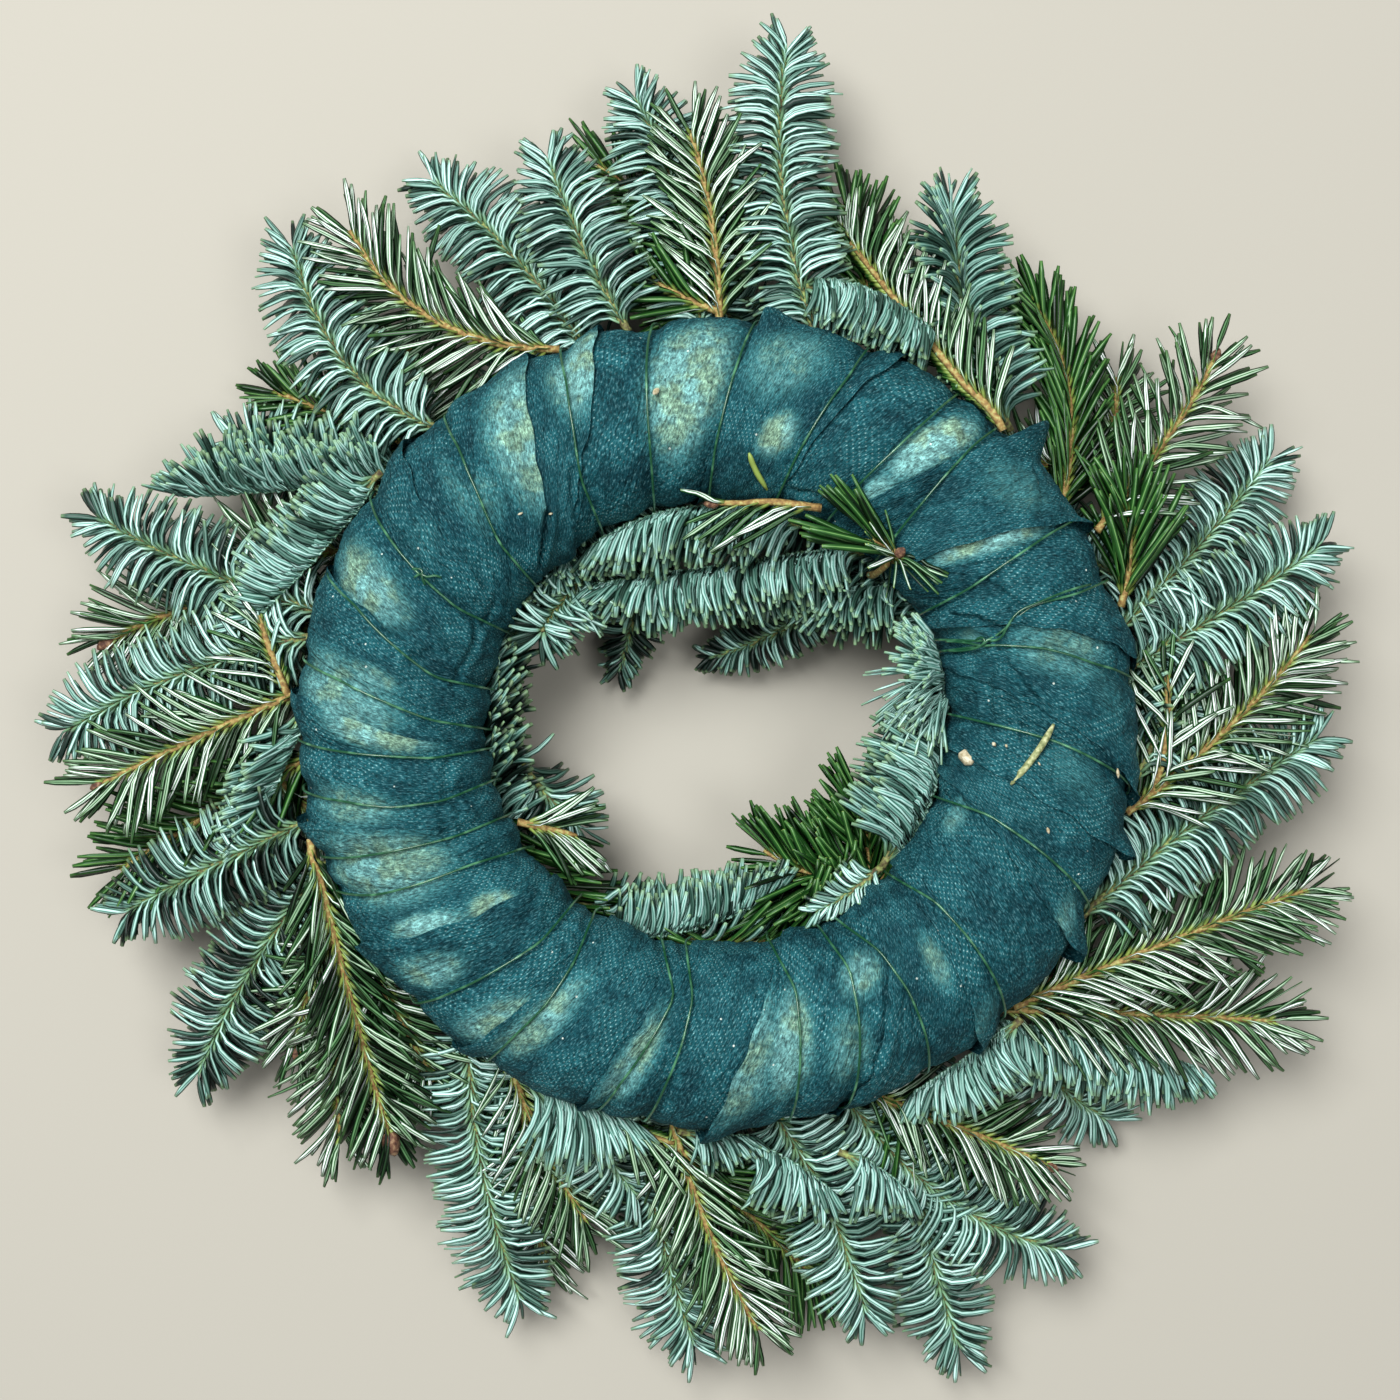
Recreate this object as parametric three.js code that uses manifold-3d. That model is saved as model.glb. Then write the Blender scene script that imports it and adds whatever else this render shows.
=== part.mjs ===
// A fresh fir wreath lying face down: a straw ring wrapped in a fleece band, wound with wire, and ringed
// with forked fir sprays outside, inside the hole and across the front below.
// Millimetres, +Z up. The origin is on the surface that the wreath lies on, under the middle of its outline.
import * as THREE from 'three';
import { mergeVertices } from 'three/addons/utils/BufferGeometryUtils.js';
import Module from 'manifold-3d';

const wasm = await Module();
wasm.setup();

// Driving dimensions of the ring
const RING_CENTRE_X = 5;
const RING_CENTRE_Y = -7;
const RING_CENTRE_Z = 55;
const RING_RADIUS = 98.6;
const RING_SQUASH = 0.965;
const TUBE_HALF_WIDTH = 26.9;
const TUBE_HALF_HEIGHT = 22.4;
const STRAW_DEPTH = -1.4;
const STRAW_STEPS = 32;

// Driving dimensions of the fleece band
const BAND_TURNS = 18;
const BAND_OVERLAP = 1.33;
const BAND_THICKNESS = 0.8;
const BAND_UNDER = 1.6;
const BAND_END_GAP = 4;
const BAND_OUTSIDE = BAND_UNDER + BAND_THICKNESS;

// Driving dimensions of the binding wire
const WIRE_RADIUS = 0.45;
const WIRE_LIFT = BAND_OUTSIDE + 0.35 + WIRE_RADIUS;
const WIRE_LIFT_UNDER = 10;

// Driving dimensions of the shoots
const STEM_RADIUS = 1.5;
const STEM_TIP_RADIUS = 1.05;
const STEM_STEP = 4.4;
const STEM_CLEAR_BELOW = STEM_RADIUS + 0.6;
const STEM_CLEAR_OVER_WIRE = WIRE_LIFT + WIRE_RADIUS - BAND_OUTSIDE + STEM_RADIUS + 0.4;
const STEM_SEAT_GAP = 0.35;
const STEM_LEAST_STEPS = 4;
const BOUND_HEIGHT = 42;
const BUD_LENGTH = 6;
const SWEEP_FOOT = 0.2;
const SWEEP_BEND_RADIUS = 120;

// Driving dimensions of the needles: their gaps, and how far each strays from the angles of its kind
const NEEDLE_GAP = 0.3;
const NEEDLE_TIP_ROOM = 0.8;
const NEEDLE_ROOT_ROOM = 2;
const RISE_STRAY = 6;
const SPREAD_STRAY = 3;
const LENGTH_STRAY = 0.12;
const END_LENGTH = 0.8;
const LEAST_SPREAD = 14;
const LEAST_LEAN = 0.12;
const UNDERSIDE_RISE = -70;
const UNDERSIDE_SIDE = 0.7;
const NOBLE = { length: 17.5, spread: 66, tipSpread: 26, rises: [8, 34, 58], colour: 0x6d9a8f };
const NORDMANN = { length: 26, spread: 58, tipSpread: 20, rises: [4, 14, 40], colour: 0x42704a };

// The clear space in the middle of the hole that no needle enters, as three boxes through the wreath
const HOLE = [[[-30, -54], [10, -4]], [[10, -16], [48, 4]], [[-46, -24], [-30, -2]]].map(
  ([low, high]) => new THREE.Box3(new THREE.Vector3(...low, -5), new THREE.Vector3(...high, 95)),
);

// Places round the tube's section, in degrees from the outer side over the back
const SECTION_ANGLES = [-8, 24, 50, 76, 104, 130, 156, 188, 236, 304];

// Corners of a three-sided section, in degrees
const THREE_SIDES = [90, 210, 330];

// Points nearer than this are one point when solids are joined
const SAME_POINT = 1e-5;

const radians = THREE.MathUtils.degToRad;
const point = (values) => new THREE.Vector3(...values);

/** A seeded draw of numbers between 0 and 1, so that the wreath is the same each time. */
function seededDraw(seed) {
  let state = seed;
  return () => {
    state = (state + 0x6d2b79f5) | 0;
    let mixed = Math.imul(state ^ (state >>> 15), 1 | state);
    mixed = (mixed + Math.imul(mixed ^ (mixed >>> 7), 61 | mixed)) ^ mixed;
    return ((mixed ^ (mixed >>> 14)) >>> 0) / 4294967296;
  };
}

/** A place in the tube's section: distance from the tube's axis line outwards, and height over it. */
function sectionPlace(angle, lift) {
  const across = Math.cos(radians(angle));
  const up = Math.sin(radians(angle));
  const normal = new THREE.Vector2(across / TUBE_HALF_WIDTH, up / TUBE_HALF_HEIGHT).normalize();
  return new THREE.Vector2(TUBE_HALF_WIDTH * across, TUBE_HALF_HEIGHT * up).addScaledVector(normal, lift);
}

/** A point of the ring at an angle round the ring, for a place in the tube's section. */
function ringPoint(round, place) {
  const radius = RING_RADIUS + place.x;
  return new THREE.Vector3(
    RING_CENTRE_X + radius * Math.cos(radians(round)),
    RING_CENTRE_Y + RING_SQUASH * radius * Math.sin(radians(round)),
    RING_CENTRE_Z + place.y,
  );
}

/** Geometry of a closed body from its points and three indices for each face. */
function closedGeometry(points, faces) {
  const geometry = new THREE.BufferGeometry();
  const values = points.flatMap((p) => [p.x, p.y, p.z]);
  geometry.setAttribute('position', new THREE.Float32BufferAttribute(values, 3));
  geometry.setIndex(faces.flat());
  return geometry;
}

/** A closed body through a row of rings of points, either capped at both ends or joined into a loop. */
function loft(rings, looped) {
  const sides = rings[0].length;
  const faces = [];
  const last = looped ? rings.length : rings.length - 1;
  for (let i = 0; i < last; i += 1) {
    const next = ((i + 1) % rings.length) * sides;
    const here = i * sides;
    for (let k = 0; k < sides; k += 1) {
      const beside = (k + 1) % sides;
      faces.push([here + k, here + beside, next + beside], [here + k, next + beside, next + k]);
    }
  }
  return { points: rings.flat(), faces };
}

/** The straw ring: the tube's section carried once round. */
function strawRing() {
  const places = SECTION_ANGLES.map((angle) => sectionPlace(angle, STRAW_DEPTH));
  const rings = [];
  for (let i = 0; i < STRAW_STEPS; i += 1) {
    rings.push(places.map((place) => ringPoint((-360 * i) / STRAW_STEPS, place)));
  }
  const { points, faces } = loft(rings, true);
  return closedGeometry(points, faces);
}

// The band's cross-section: how far across its width, and how far off the ring, outside and then inside
const BAND_OUTER_EDGE = [[0, BAND_OUTSIDE], [0.27, BAND_OUTSIDE], [0.62, 1.2], [1, BAND_THICKNESS]];
const BAND_INNER_EDGE = [[1, 0], [0.62, 0.4], [0.27, BAND_UNDER], [0, BAND_UNDER]];

/** The fleece band: a strip wound round the tube, each turn lying over the last edge of the one before. */
function fleeceBand() {
  const pitch = 360 / BAND_TURNS;
  const width = pitch * BAND_OVERLAP;
  const section = [...BAND_OUTER_EDGE, ...BAND_INNER_EDGE];
  const stations = [];
  for (let turn = 0; turn < BAND_TURNS; turn += 1) {
    SECTION_ANGLES.forEach((angle) => stations.push(360 * turn + angle));
  }
  stations.push(360 * BAND_TURNS + SECTION_ANGLES[0] - BAND_END_GAP);
  const rings = stations.map((angle) => {
    const start = (pitch * angle) / 360;
    return section.map(([across, lift]) => ringPoint(start + width * across, sectionPlace(angle, lift)));
  });
  const { points, faces } = loft(rings, false);
  const end = points.length - section.length;
  for (let k = 0; k < BAND_OUTER_EDGE.length - 1; k += 1) {
    const under = section.length - 1 - k;
    faces.push([k, under, k + 1], [k + 1, under, under - 1]);
    faces.push([end + k, end + k + 1, end + under], [end + k + 1, end + under - 1, end + under]);
  }
  return closedGeometry(points, faces);
}

// Where each turn of the wire crosses the outer and then the inner edge, in degrees round the ring
const WIRE_CROSSINGS = [
  [7, 16], [22, 21], [30, 28], [46, 46], [54, 61], [68, 75], [85, 92], [101, 106], [112, 119], [132, 142],
  [148, 153], [159, 171], [172, 179], [182, 188], [190, 196], [199, 204], [206, 212], [224, 232],
  [234, 239], [253, 257], [261, 264], [277, 286], [290, 295], [301, 303], [317, 319], [334, 340], [353, 361],
];
const WIRE_OVER = [-8, 24, 50, 76, 104, 130, 156, 188];
const WIRE_BELOW = [236, 304];
const BACK_EDGE_ANGLE = 10;
const BACK_SPAN = 180 - 2 * BACK_EDGE_ANGLE;

/** The corners of the wire's route: over the back close to the band, and below it round the stems. */
function wireRoute() {
  const corners = [];
  WIRE_CROSSINGS.forEach(([outer, inner], turn) => {
    WIRE_OVER.forEach((angle) => {
      const over = THREE.MathUtils.clamp(angle - BACK_EDGE_ANGLE, 0, BACK_SPAN) / BACK_SPAN;
      corners.push({ round: THREE.MathUtils.lerp(outer, inner, over), angle, lift: WIRE_LIFT });
    });
    if (turn === WIRE_CROSSINGS.length - 1) return;
    const following = WIRE_CROSSINGS[turn + 1][0];
    WIRE_BELOW.forEach((angle, k) => {
      const below = (k + 1) / (WIRE_BELOW.length + 1);
      corners.push({ round: THREE.MathUtils.lerp(inner, following, below), angle, lift: WIRE_LIFT_UNDER });
    });
  });
  return corners;
}

/** The wire's three-sided rings, one at each corner of its route. */
function wireRings() {
  const corners = wireRoute();
  const centres = corners.map(({ round, angle, lift }) => ringPoint(round, sectionPlace(angle, lift)));
  return corners.map(({ round, angle }, i) => {
    const before = centres[Math.max(i - 1, 0)];
    const after = centres[Math.min(i + 1, centres.length - 1)];
    const along = new THREE.Vector3().subVectors(after, before).normalize();
    const raised = ringPoint(round, sectionPlace(angle, corners[i].lift + 1));
    const up = raised.sub(centres[i]).addScaledVector(along, -raised.dot(along)).normalize();
    const side = new THREE.Vector3().crossVectors(up, along);
    return THREE_SIDES.map((turn) => centres[i].clone()
      .addScaledVector(side, WIRE_RADIUS * Math.cos(radians(turn)))
      .addScaledVector(up, WIRE_RADIUS * Math.sin(radians(turn))));
  });
}

/** The binding wire as one closed body. */
function bindingWire() {
  const rings = wireRings();
  const { points, faces } = loft(rings, false);
  const top = points.length - 3;
  faces.push([2, 1, 0], [top, top + 1, top + 2]);
  return closedGeometry(points, faces);
}

const BAND_SECTION = SECTION_ANGLES.map((angle) => sectionPlace(angle, BAND_OUTSIDE));

/** How far a point is off the wrapped tube, and the way straight off it. */
function offRing(p) {
  const x = p.x - RING_CENTRE_X;
  const y = (p.y - RING_CENTRE_Y) / RING_SQUASH;
  const radius = Math.hypot(x, y);
  const place = new THREE.Vector2(radius - RING_RADIUS, p.z - RING_CENTRE_Z);
  let distance = -Infinity;
  let normal = null;
  BAND_SECTION.forEach((corner, k) => {
    const next = BAND_SECTION[(k + 1) % BAND_SECTION.length];
    const outward = new THREE.Vector2(next.y - corner.y, corner.x - next.x).normalize();
    const clear = place.clone().sub(corner).dot(outward);
    if (clear > distance) {
      distance = clear;
      normal = outward;
    }
  });
  const away = new THREE.Vector3((normal.x * x) / radius, (normal.x * y * RING_SQUASH) / radius, normal.y);
  return { distance, away };
}

/** Moves a point straight off the tube until it is at least so far from it. */
function keptOffRing(p, clearance) {
  const { distance, away } = offRing(p);
  return distance < clearance ? p.clone().addScaledVector(away, clearance - distance) : p;
}

/** Moves a shoot's foot until it lies against the band. */
function seated(p) {
  const { distance, away } = offRing(p);
  return p.clone().addScaledVector(away, STEM_RADIUS + STEM_SEAT_GAP - distance);
}

/** A shoot that starts at the ring: its kind, its roll about its own stem, its foot, its bend and its tip. */
const shoot = (kind, roll, from, via, to) => (
  { kind, roll, from: point(from), via: point(via), to: point(to) }
);

/** A side shoot that leaves the first shoot of its spray at a part of that shoot's length. */
const fork = (kind, roll, at, via, to) => ({ kind, roll, at, via: point(via), to: point(to) });

/** A side shoot that sweeps across the front of the ring, from low on the first shoot. */
const sweep = (kind, roll, turn, radius, height) => ({ kind, roll, at: SWEEP_FOOT, turn, radius, height });

// The sprays, each with its shoots, clockwise round the outside from the upper left, and then in the hole
const SPRAYS = {
  noble_spray_01: [shoot(NOBLE, 0, [-84, 88, 42], [-116, 96, 41], [-128, 142, 34])],
  nordmann_spray_02: [shoot(NORDMANN, 180, [-45, 112, 46], [-88, 108, 46], [-109, 146, 42])],
  noble_spray_03: [
    shoot(NOBLE, 0, [-36, 114, 36], [-55, 140, 34], [-84, 164, 28]),
    sweep(NOBLE, 180, 36, 94, 12),
  ],
  noble_spray_04: [shoot(NOBLE, 0, [-23, 118, 45], [-38, 140, 44], [-47, 168, 40])],
  noble_spray_05: [
    shoot(NOBLE, 0, [0, 122, 34], [-4, 160, 32], [-20, 190, 30]),
    sweep(NOBLE, 180, -34, 86, 20),
  ],
  nordmann_spray_06: [
    shoot(NORDMANN, 180, [6, 117, 46], [6, 148, 46], [-3, 177, 42]),
    fork(NORDMANN, 0, 0.3, [-8, 156, 20], [-36, 182, 16]),
    fork(NORDMANN, 0, 0.08, [-4, 124, 44], [-15, 131, 40]),
  ],
  noble_spray_07: [
    shoot(NOBLE, 0, [37, 118, 44], [20, 160, 43], [27, 211, 38]),
    fork(NOBLE, 45, 0.08, [55, 124, 40], [76, 111, 40]),
  ],
  nordmann_spray_08: [shoot(NORDMANN, 20, [93, 83, 72], [66, 112, 60], [44, 149, 32])],
  noble_spray_09: [shoot(NOBLE, 25, [99, 86, 50], [80, 112, 48], [78, 154, 42])],
  nordmann_spray_10: [
    shoot(NORDMANN, 0, [122, 62, 34], [125, 100, 32], [107, 134, 28]),
    fork(NORDMANN, 180, 0.12, [136, 80, 22], [134, 104, 18]),
    sweep(NORDMANN, 180, 34, 88, 10),
  ],
  nordmann_spray_11: [shoot(NORDMANN, 180, [130, 56, 46], [152, 88, 46], [163, 110, 42])],
  nordmann_spray_12: [shoot(NORDMANN, 0, [134, 30, 50], [141, 44, 50], [135, 60, 53])],
  noble_spray_13: [
    shoot(NOBLE, 0, [146, 25, 34], [160, 50, 31], [187, 80, 26]),
    sweep(NOBLE, 180, 38, 96, 14),
  ],
  noble_spray_14: [shoot(NOBLE, 0, [138, 10, 42], [172, 32, 42], [199, 51, 38])],
  noble_spray_15: [shoot(NOBLE, 80, [136, -27, 48], [142, -10, 46], [150, 3, 36])],
  nordmann_spray_16: [shoot(NORDMANN, 180, [137, -36, 46], [168, -8, 46], [190, 20, 41])],
  noble_spray_17: [shoot(NOBLE, 0, [121, -70, 45], [150, -38, 44], [192, -12, 40])],
  nordmann_spray_18: [
    shoot(NORDMANN, 180, [134, -54, 30], [152, -40, 26], [172, -20, 20]),
    sweep(NORDMANN, 180, 34, 84, 20),
  ],
  nordmann_spray_19: [shoot(NORDMANN, 150, [98, -96, 48], [150, -72, 46], [189, -59, 42])],
  nordmann_spray_20: [
    shoot(NORDMANN, 180, [99, -104, 37], [140, -98, 37], [181, -101, 35]),
    sweep(NORDMANN, 180, 40, 100, 12),
  ],
  noble_spray_21: [
    shoot(NOBLE, 90, [92, -109, 30], [125, -117, 28], [156, -120, 24]),
    fork(NOBLE, 0, 0.25, [115, -128, 16], [132, -136, 12]),
  ],
  noble_spray_22: [shoot(NOBLE, 80, [64, -122, 45], [85, -124, 45], [105, -116, 43])],
  nordmann_spray_23: [
    shoot(NORDMANN, 150, [52, -128, 40], [85, -134, 41], [117, -150, 37]),
    fork(NORDMANN, 0, 0.15, [70, -146, 24], [84, -158, 16]),
  ],
  noble_spray_24: [
    shoot(NOBLE, 0, [48, -136, 28], [72, -164, 28], [114, -175, 26]),
    fork(NOBLE, 0, 0.42, [74, -182, 22], [83, -208, 20]),
    sweep(NOBLE, 180, 34, 86, 20),
  ],
  noble_spray_25: [shoot(NOBLE, 0, [22, -132, 36], [44, -160, 36], [54, -200, 32])],
  nordmann_spray_26: [
    shoot(NORDMANN, 180, [-9, -128, 46], [-2, -160, 46], [20, -202, 42]),
    fork(NORDMANN, 0, 0.12, [16, -142, 46], [44, -152, 45]),
    fork(NORDMANN, 0, 0.2, [20, -168, 22], [40, -192, 14]),
  ],
  noble_spray_27: [
    shoot(NOBLE, 0, [-23, -130, 28], [-14, -174, 26], [-2, -205, 24]),
    sweep(NOBLE, 180, 38, 96, 12),
  ],
  noble_spray_28: [shoot(NOBLE, 90, [-57, -120, 45], [-38, -132, 45], [-20, -158, 39])],
  nordmann_spray_29: [
    shoot(NORDMANN, 180, [-69, -115, 32], [-52, -140, 31], [-36, -166, 27]),
    fork(NORDMANN, 180, 0.3, [-56, -160, 18], [-50, -184, 12]),
    sweep(NORDMANN, 180, 34, 84, 20),
  ],
  noble_spray_30: [
    shoot(NOBLE, 0, [-83, -110, 28], [-74, -150, 25], [-58, -192, 20]),
    sweep(NOBLE, 180, 36, 98, 10),
  ],
  nordmann_spray_31: [
    shoot(NORDMANN, 20, [-121, -43, 62], [-108, -88, 56], [-97, -141, 40]),
    fork(NORDMANN, 0, 0.3, [-124, -86, 36], [-127, -112, 32]),
  ],
  noble_spray_32: [
    shoot(NOBLE, 0, [-130, -54, 33], [-146, -86, 32], [-159, -118, 26]),
    sweep(NOBLE, 180, 36, 88, 20),
  ],
  noble_spray_33: [shoot(NOBLE, 0, [-132, -40, 41], [-158, -54, 41], [-179, -66, 37])],
  nordmann_spray_34: [
    shoot(NORDMANN, 0, [-133, -17, 33], [-158, -37, 32], [-184, -54, 28]),
    sweep(NORDMANN, 180, 38, 98, 12),
  ],
  nordmann_spray_35: [
    shoot(NORDMANN, 180, [-127, 3, 46], [-148, -8, 47], [-189, -27, 43]),
    fork(NORDMANN, 150, 0.08, [-132, 14, 50], [-134, 26, 51]),
  ],
  noble_spray_36: [shoot(NOBLE, 80, [-128, -7, 41], [-137, -24, 41], [-147, -42, 39])],
  noble_spray_37: [shoot(NOBLE, 0, [-128, 22, 40], [-160, 12, 41], [-198, -9, 36])],
  nordmann_spray_38: [
    shoot(NORDMANN, 150, [-128, 36, 28], [-158, 37, 26], [-188, 19, 24]),
    sweep(NORDMANN, 180, 36, 84, 20),
  ],
  noble_spray_39: [shoot(NOBLE, 0, [-128, 30, 35], [-160, 40, 38], [-198, 61, 36])],
  noble_spray_40: [
    shoot(NOBLE, 50, [-98, 80, 34], [-130, 72, 33], [-165, 70, 28]),
    sweep(NOBLE, 180, 36, 100, 12),
  ],
  nordmann_spray_41: [shoot(NORDMANN, 180, [-120, 52, 30], [-138, 50, 28], [-154, 46, 26])],
  noble_spray_42: [shoot(NOBLE, 80, [-99, 71, 50], [-121, 47, 50], [-139, 29, 46])],
  nordmann_spray_43: [
    shoot(NORDMANN, 0, [-92, 84, 28], [-120, 93, 22], [-145, 103, 16]),
    fork(NORDMANN, 180, 0.1, [-88, 100, 24], [-94, 114, 20]),
    sweep(NORDMANN, 180, 34, 84, 20),
  ],
  noble_spray_44: [shoot(NOBLE, -70, [36, 58, 52], [-2, 66, 54], [-30, 52, 50])],
  noble_spray_45: [
    shoot(NOBLE, -60, [50, 44, 40], [4, 38, 42], [-31, 34, 42]),
    fork(NOBLE, -90, 0.1, [32, 42, 26], [12, 37, 24]),
  ],
  nordmann_spray_46: [
    shoot(NORDMANN, 0, [36, 58, 70], [20, 63, 66], [-4, 66, 62]),
    fork(NORDMANN, 0, 0.1, [50, 52, 62], [61, 44, 72]),
  ],
  noble_spray_47: [
    shoot(NOBLE, 0, [-10, 60, 30], [-20, 30, 18], [-26, 6, 14]),
    fork(NOBLE, 0, 0.05, [-38, 46, 40], [-51, 19, 50]),
  ],
  noble_spray_48: [shoot(NOBLE, 0, [52, 40, 28], [34, 22, 18], [2, 13, 14])],
  noble_spray_49: [shoot(NOBLE, 0, [72, 34, 40], [58, 32, 38], [40, 27, 34])],
  noble_spray_50: [
    shoot(NOBLE, -40, [-62, 30, 38], [-68, 0, 41], [-61, -28, 38]),
    fork(NOBLE, 0, 0.6, [-56, -26, 30], [-38, -42, 28]),
  ],
  nordmann_spray_51: [shoot(NORDMANN, 180, [-57, -38, 50], [-49, -39, 49], [-38, -42, 46])],
  noble_spray_52: [shoot(NOBLE, -60, [-36, -78, 42], [-8, -76, 42], [24, -62, 40])],
  nordmann_spray_53: [
    shoot(NORDMANN, 0, [14, -84, 54], [28, -76, 54], [43, -62, 52]),
    fork(NORDMANN, 180, 0.06, [-6, -79, 56], [-26, -79, 56]),
  ],
  nordmann_spray_54: [
    shoot(NORDMANN, 0, [59, -57, 34], [46, -52, 32], [30, -45, 30]),
    fork(NORDMANN, 0, 0.25, [53, -48, 30], [50, -34, 30]),
  ],
  noble_spray_55: [
    shoot(NOBLE, -70, [57, -50, 54], [72, -34, 55], [75, -10, 53]),
    fork(NOBLE, 0, 0.05, [54, -64, 58], [41, -68, 58]),
  ],
  noble_spray_56: [shoot(NOBLE, 0, [80, -4, 48], [80, 4, 54], [73, 13, 62])],
};

/** The stations along a shoot's stem: an even walk along its curve, kept off the ring. */
function stemStations(from, via, to) {
  const curve = new THREE.QuadraticBezierCurve3(from, via, to);
  const count = Math.max(STEM_LEAST_STEPS, Math.round(curve.getLength() / STEM_STEP));
  return curve.getSpacedPoints(count).map((p, i) => {
    if (i === 0) return p;
    return keptOffRing(p, p.z > BOUND_HEIGHT ? STEM_CLEAR_OVER_WIRE : STEM_CLEAR_BELOW);
  });
}

/** The stations of all the shoots of a spray: the first from the ring, the others from the first. */
function sprayStations(shoots) {
  const main = shoots[0];
  const mainStations = stemStations(seated(main.from), main.via, main.to);
  const stations = [mainStations];
  shoots.slice(1).forEach((side) => {
    const foot = mainStations[Math.round(side.at * (mainStations.length - 1))];
    let { via, to } = side;
    if (side.turn !== undefined) {
      const round = THREE.MathUtils.radToDeg(
        Math.atan2((foot.y - RING_CENTRE_Y) / RING_SQUASH, foot.x - RING_CENTRE_X),
      );
      const below = side.height - RING_CENTRE_Z;
      via = ringPoint(round + side.turn * 0.5, new THREE.Vector2(SWEEP_BEND_RADIUS - RING_RADIUS, below));
      to = ringPoint(round + side.turn, new THREE.Vector2(side.radius - RING_RADIUS, below));
    }
    stations.push(stemStations(foot, via, to));
  });
  return stations;
}

/** Across and up directions at each station, turned about the stem by the shoot's roll. */
function stemFrames(stations, roll) {
  const vertical = new THREE.Vector3(0, 0, 1);
  return stations.map((p, i) => {
    const before = stations[Math.max(i - 1, 0)];
    const after = stations[Math.min(i + 1, stations.length - 1)];
    const along = new THREE.Vector3().subVectors(after, before).normalize();
    const level = new THREE.Vector3().crossVectors(vertical, along).normalize();
    const raised = new THREE.Vector3().crossVectors(along, level);
    const cos = Math.cos(radians(roll));
    const sin = Math.sin(radians(roll));
    const across = level.clone().multiplyScalar(cos).addScaledVector(raised, sin);
    const up = level.clone().multiplyScalar(-sin).addScaledVector(raised, cos);
    return { along, across, up };
  });
}

/** A convex body for clearance tests: its corners, the directions to test it by, and a ball round it. */
function convexBody(corners, faces, edges, owner) {
  const edgeWays = edges.map(([a, b]) => new THREE.Vector3().subVectors(corners[b], corners[a]));
  const normals = faces.map(([a, b, c]) => new THREE.Vector3()
    .subVectors(corners[b], corners[a])
    .cross(new THREE.Vector3().subVectors(corners[c], corners[a]))
    .normalize());
  const ball = new THREE.Box3().setFromPoints(corners).getBoundingSphere(new THREE.Sphere());
  return { corners, edgeWays, normals, ball, owner };
}

const NEEDLE_FACES = [[0, 1, 3], [1, 2, 3], [2, 0, 3], [0, 1, 2]];
const NEEDLE_EDGES = [[0, 1], [1, 2], [2, 0], [0, 3], [1, 3], [2, 3]];
const PRISM_FACES = [[0, 1, 2], [3, 4, 5], [0, 1, 4], [1, 2, 5], [2, 0, 3]];
const PRISM_EDGES = [[0, 1], [1, 2], [2, 0], [3, 4], [4, 5], [5, 3], [0, 3], [1, 4], [2, 5]];

/** Whether a direction parts two convex bodies by at least a gap. */
function partedAlong(axis, first, second, gap) {
  let firstLow = Infinity;
  let firstHigh = -Infinity;
  let secondLow = Infinity;
  let secondHigh = -Infinity;
  first.corners.forEach((corner) => {
    const reach = corner.dot(axis);
    firstLow = Math.min(firstLow, reach);
    firstHigh = Math.max(firstHigh, reach);
  });
  second.corners.forEach((corner) => {
    const reach = corner.dot(axis);
    secondLow = Math.min(secondLow, reach);
    secondHigh = Math.max(secondHigh, reach);
  });
  return secondLow - firstHigh >= gap || firstLow - secondHigh >= gap;
}

/** Whether two convex bodies are clear of each other by at least a gap. */
function areClear(first, second, gap) {
  const apart = first.ball.center.distanceTo(second.ball.center) - first.ball.radius - second.ball.radius;
  if (apart >= gap) return true;
  if (first.normals.some((axis) => partedAlong(axis, first, second, gap))) return true;
  if (second.normals.some((axis) => partedAlong(axis, first, second, gap))) return true;
  const axis = new THREE.Vector3();
  return first.edgeWays.some((a) => second.edgeWays.some((b) => {
    axis.crossVectors(a, b);
    if (axis.lengthSq() < SAME_POINT * SAME_POINT) return false;
    return partedAlong(axis.normalize(), first, second, gap);
  }));
}

/** The three corners of a stem's section at a station. */
function stemCorners(p, frame, radius) {
  return THREE_SIDES.map((turn) => p.clone()
    .addScaledVector(frame.across, radius * Math.cos(radians(turn)))
    .addScaledVector(frame.up, radius * Math.sin(radians(turn))));
}

/** The prisms between neighbouring rings of three points, as bodies for clearance tests. */
function prismsOf(rings, owner) {
  return rings.slice(1).map((ring, i) => convexBody([...rings[i], ...ring], PRISM_FACES, PRISM_EDGES, owner));
}

/** Whether a needle keeps off the ring, the surface below and the clear middle of the hole. */
function hasRoom(root, tip) {
  const box = new THREE.Box3().setFromPoints([root, tip]).expandByScalar(1);
  if (HOLE.some((clear) => box.intersectsBox(clear))) return false;
  return [0.2, 0.4, 0.6, 0.8, 1].every((part) => {
    const p = root.clone().lerp(tip, part);
    return offRing(p).distance > THREE.MathUtils.lerp(NEEDLE_ROOT_ROOM, NEEDLE_TIP_ROOM, part);
  });
}

/** The tip of the bud that a shoot ends in. */
function budTip({ stations, frames }) {
  return stations.at(-1).clone().addScaledVector(frames.at(-1).along, BUD_LENGTH);
}

// The changes to rise, spread and length that a needle may take until it is clear
const BENDS = [
  [0, 0, 1], [16, 0, 1], [-16, 0, 1], [32, -6, 1], [-32, -6, 1], [8, -16, 0.9], [-10, -18, 0.85],
];

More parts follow.
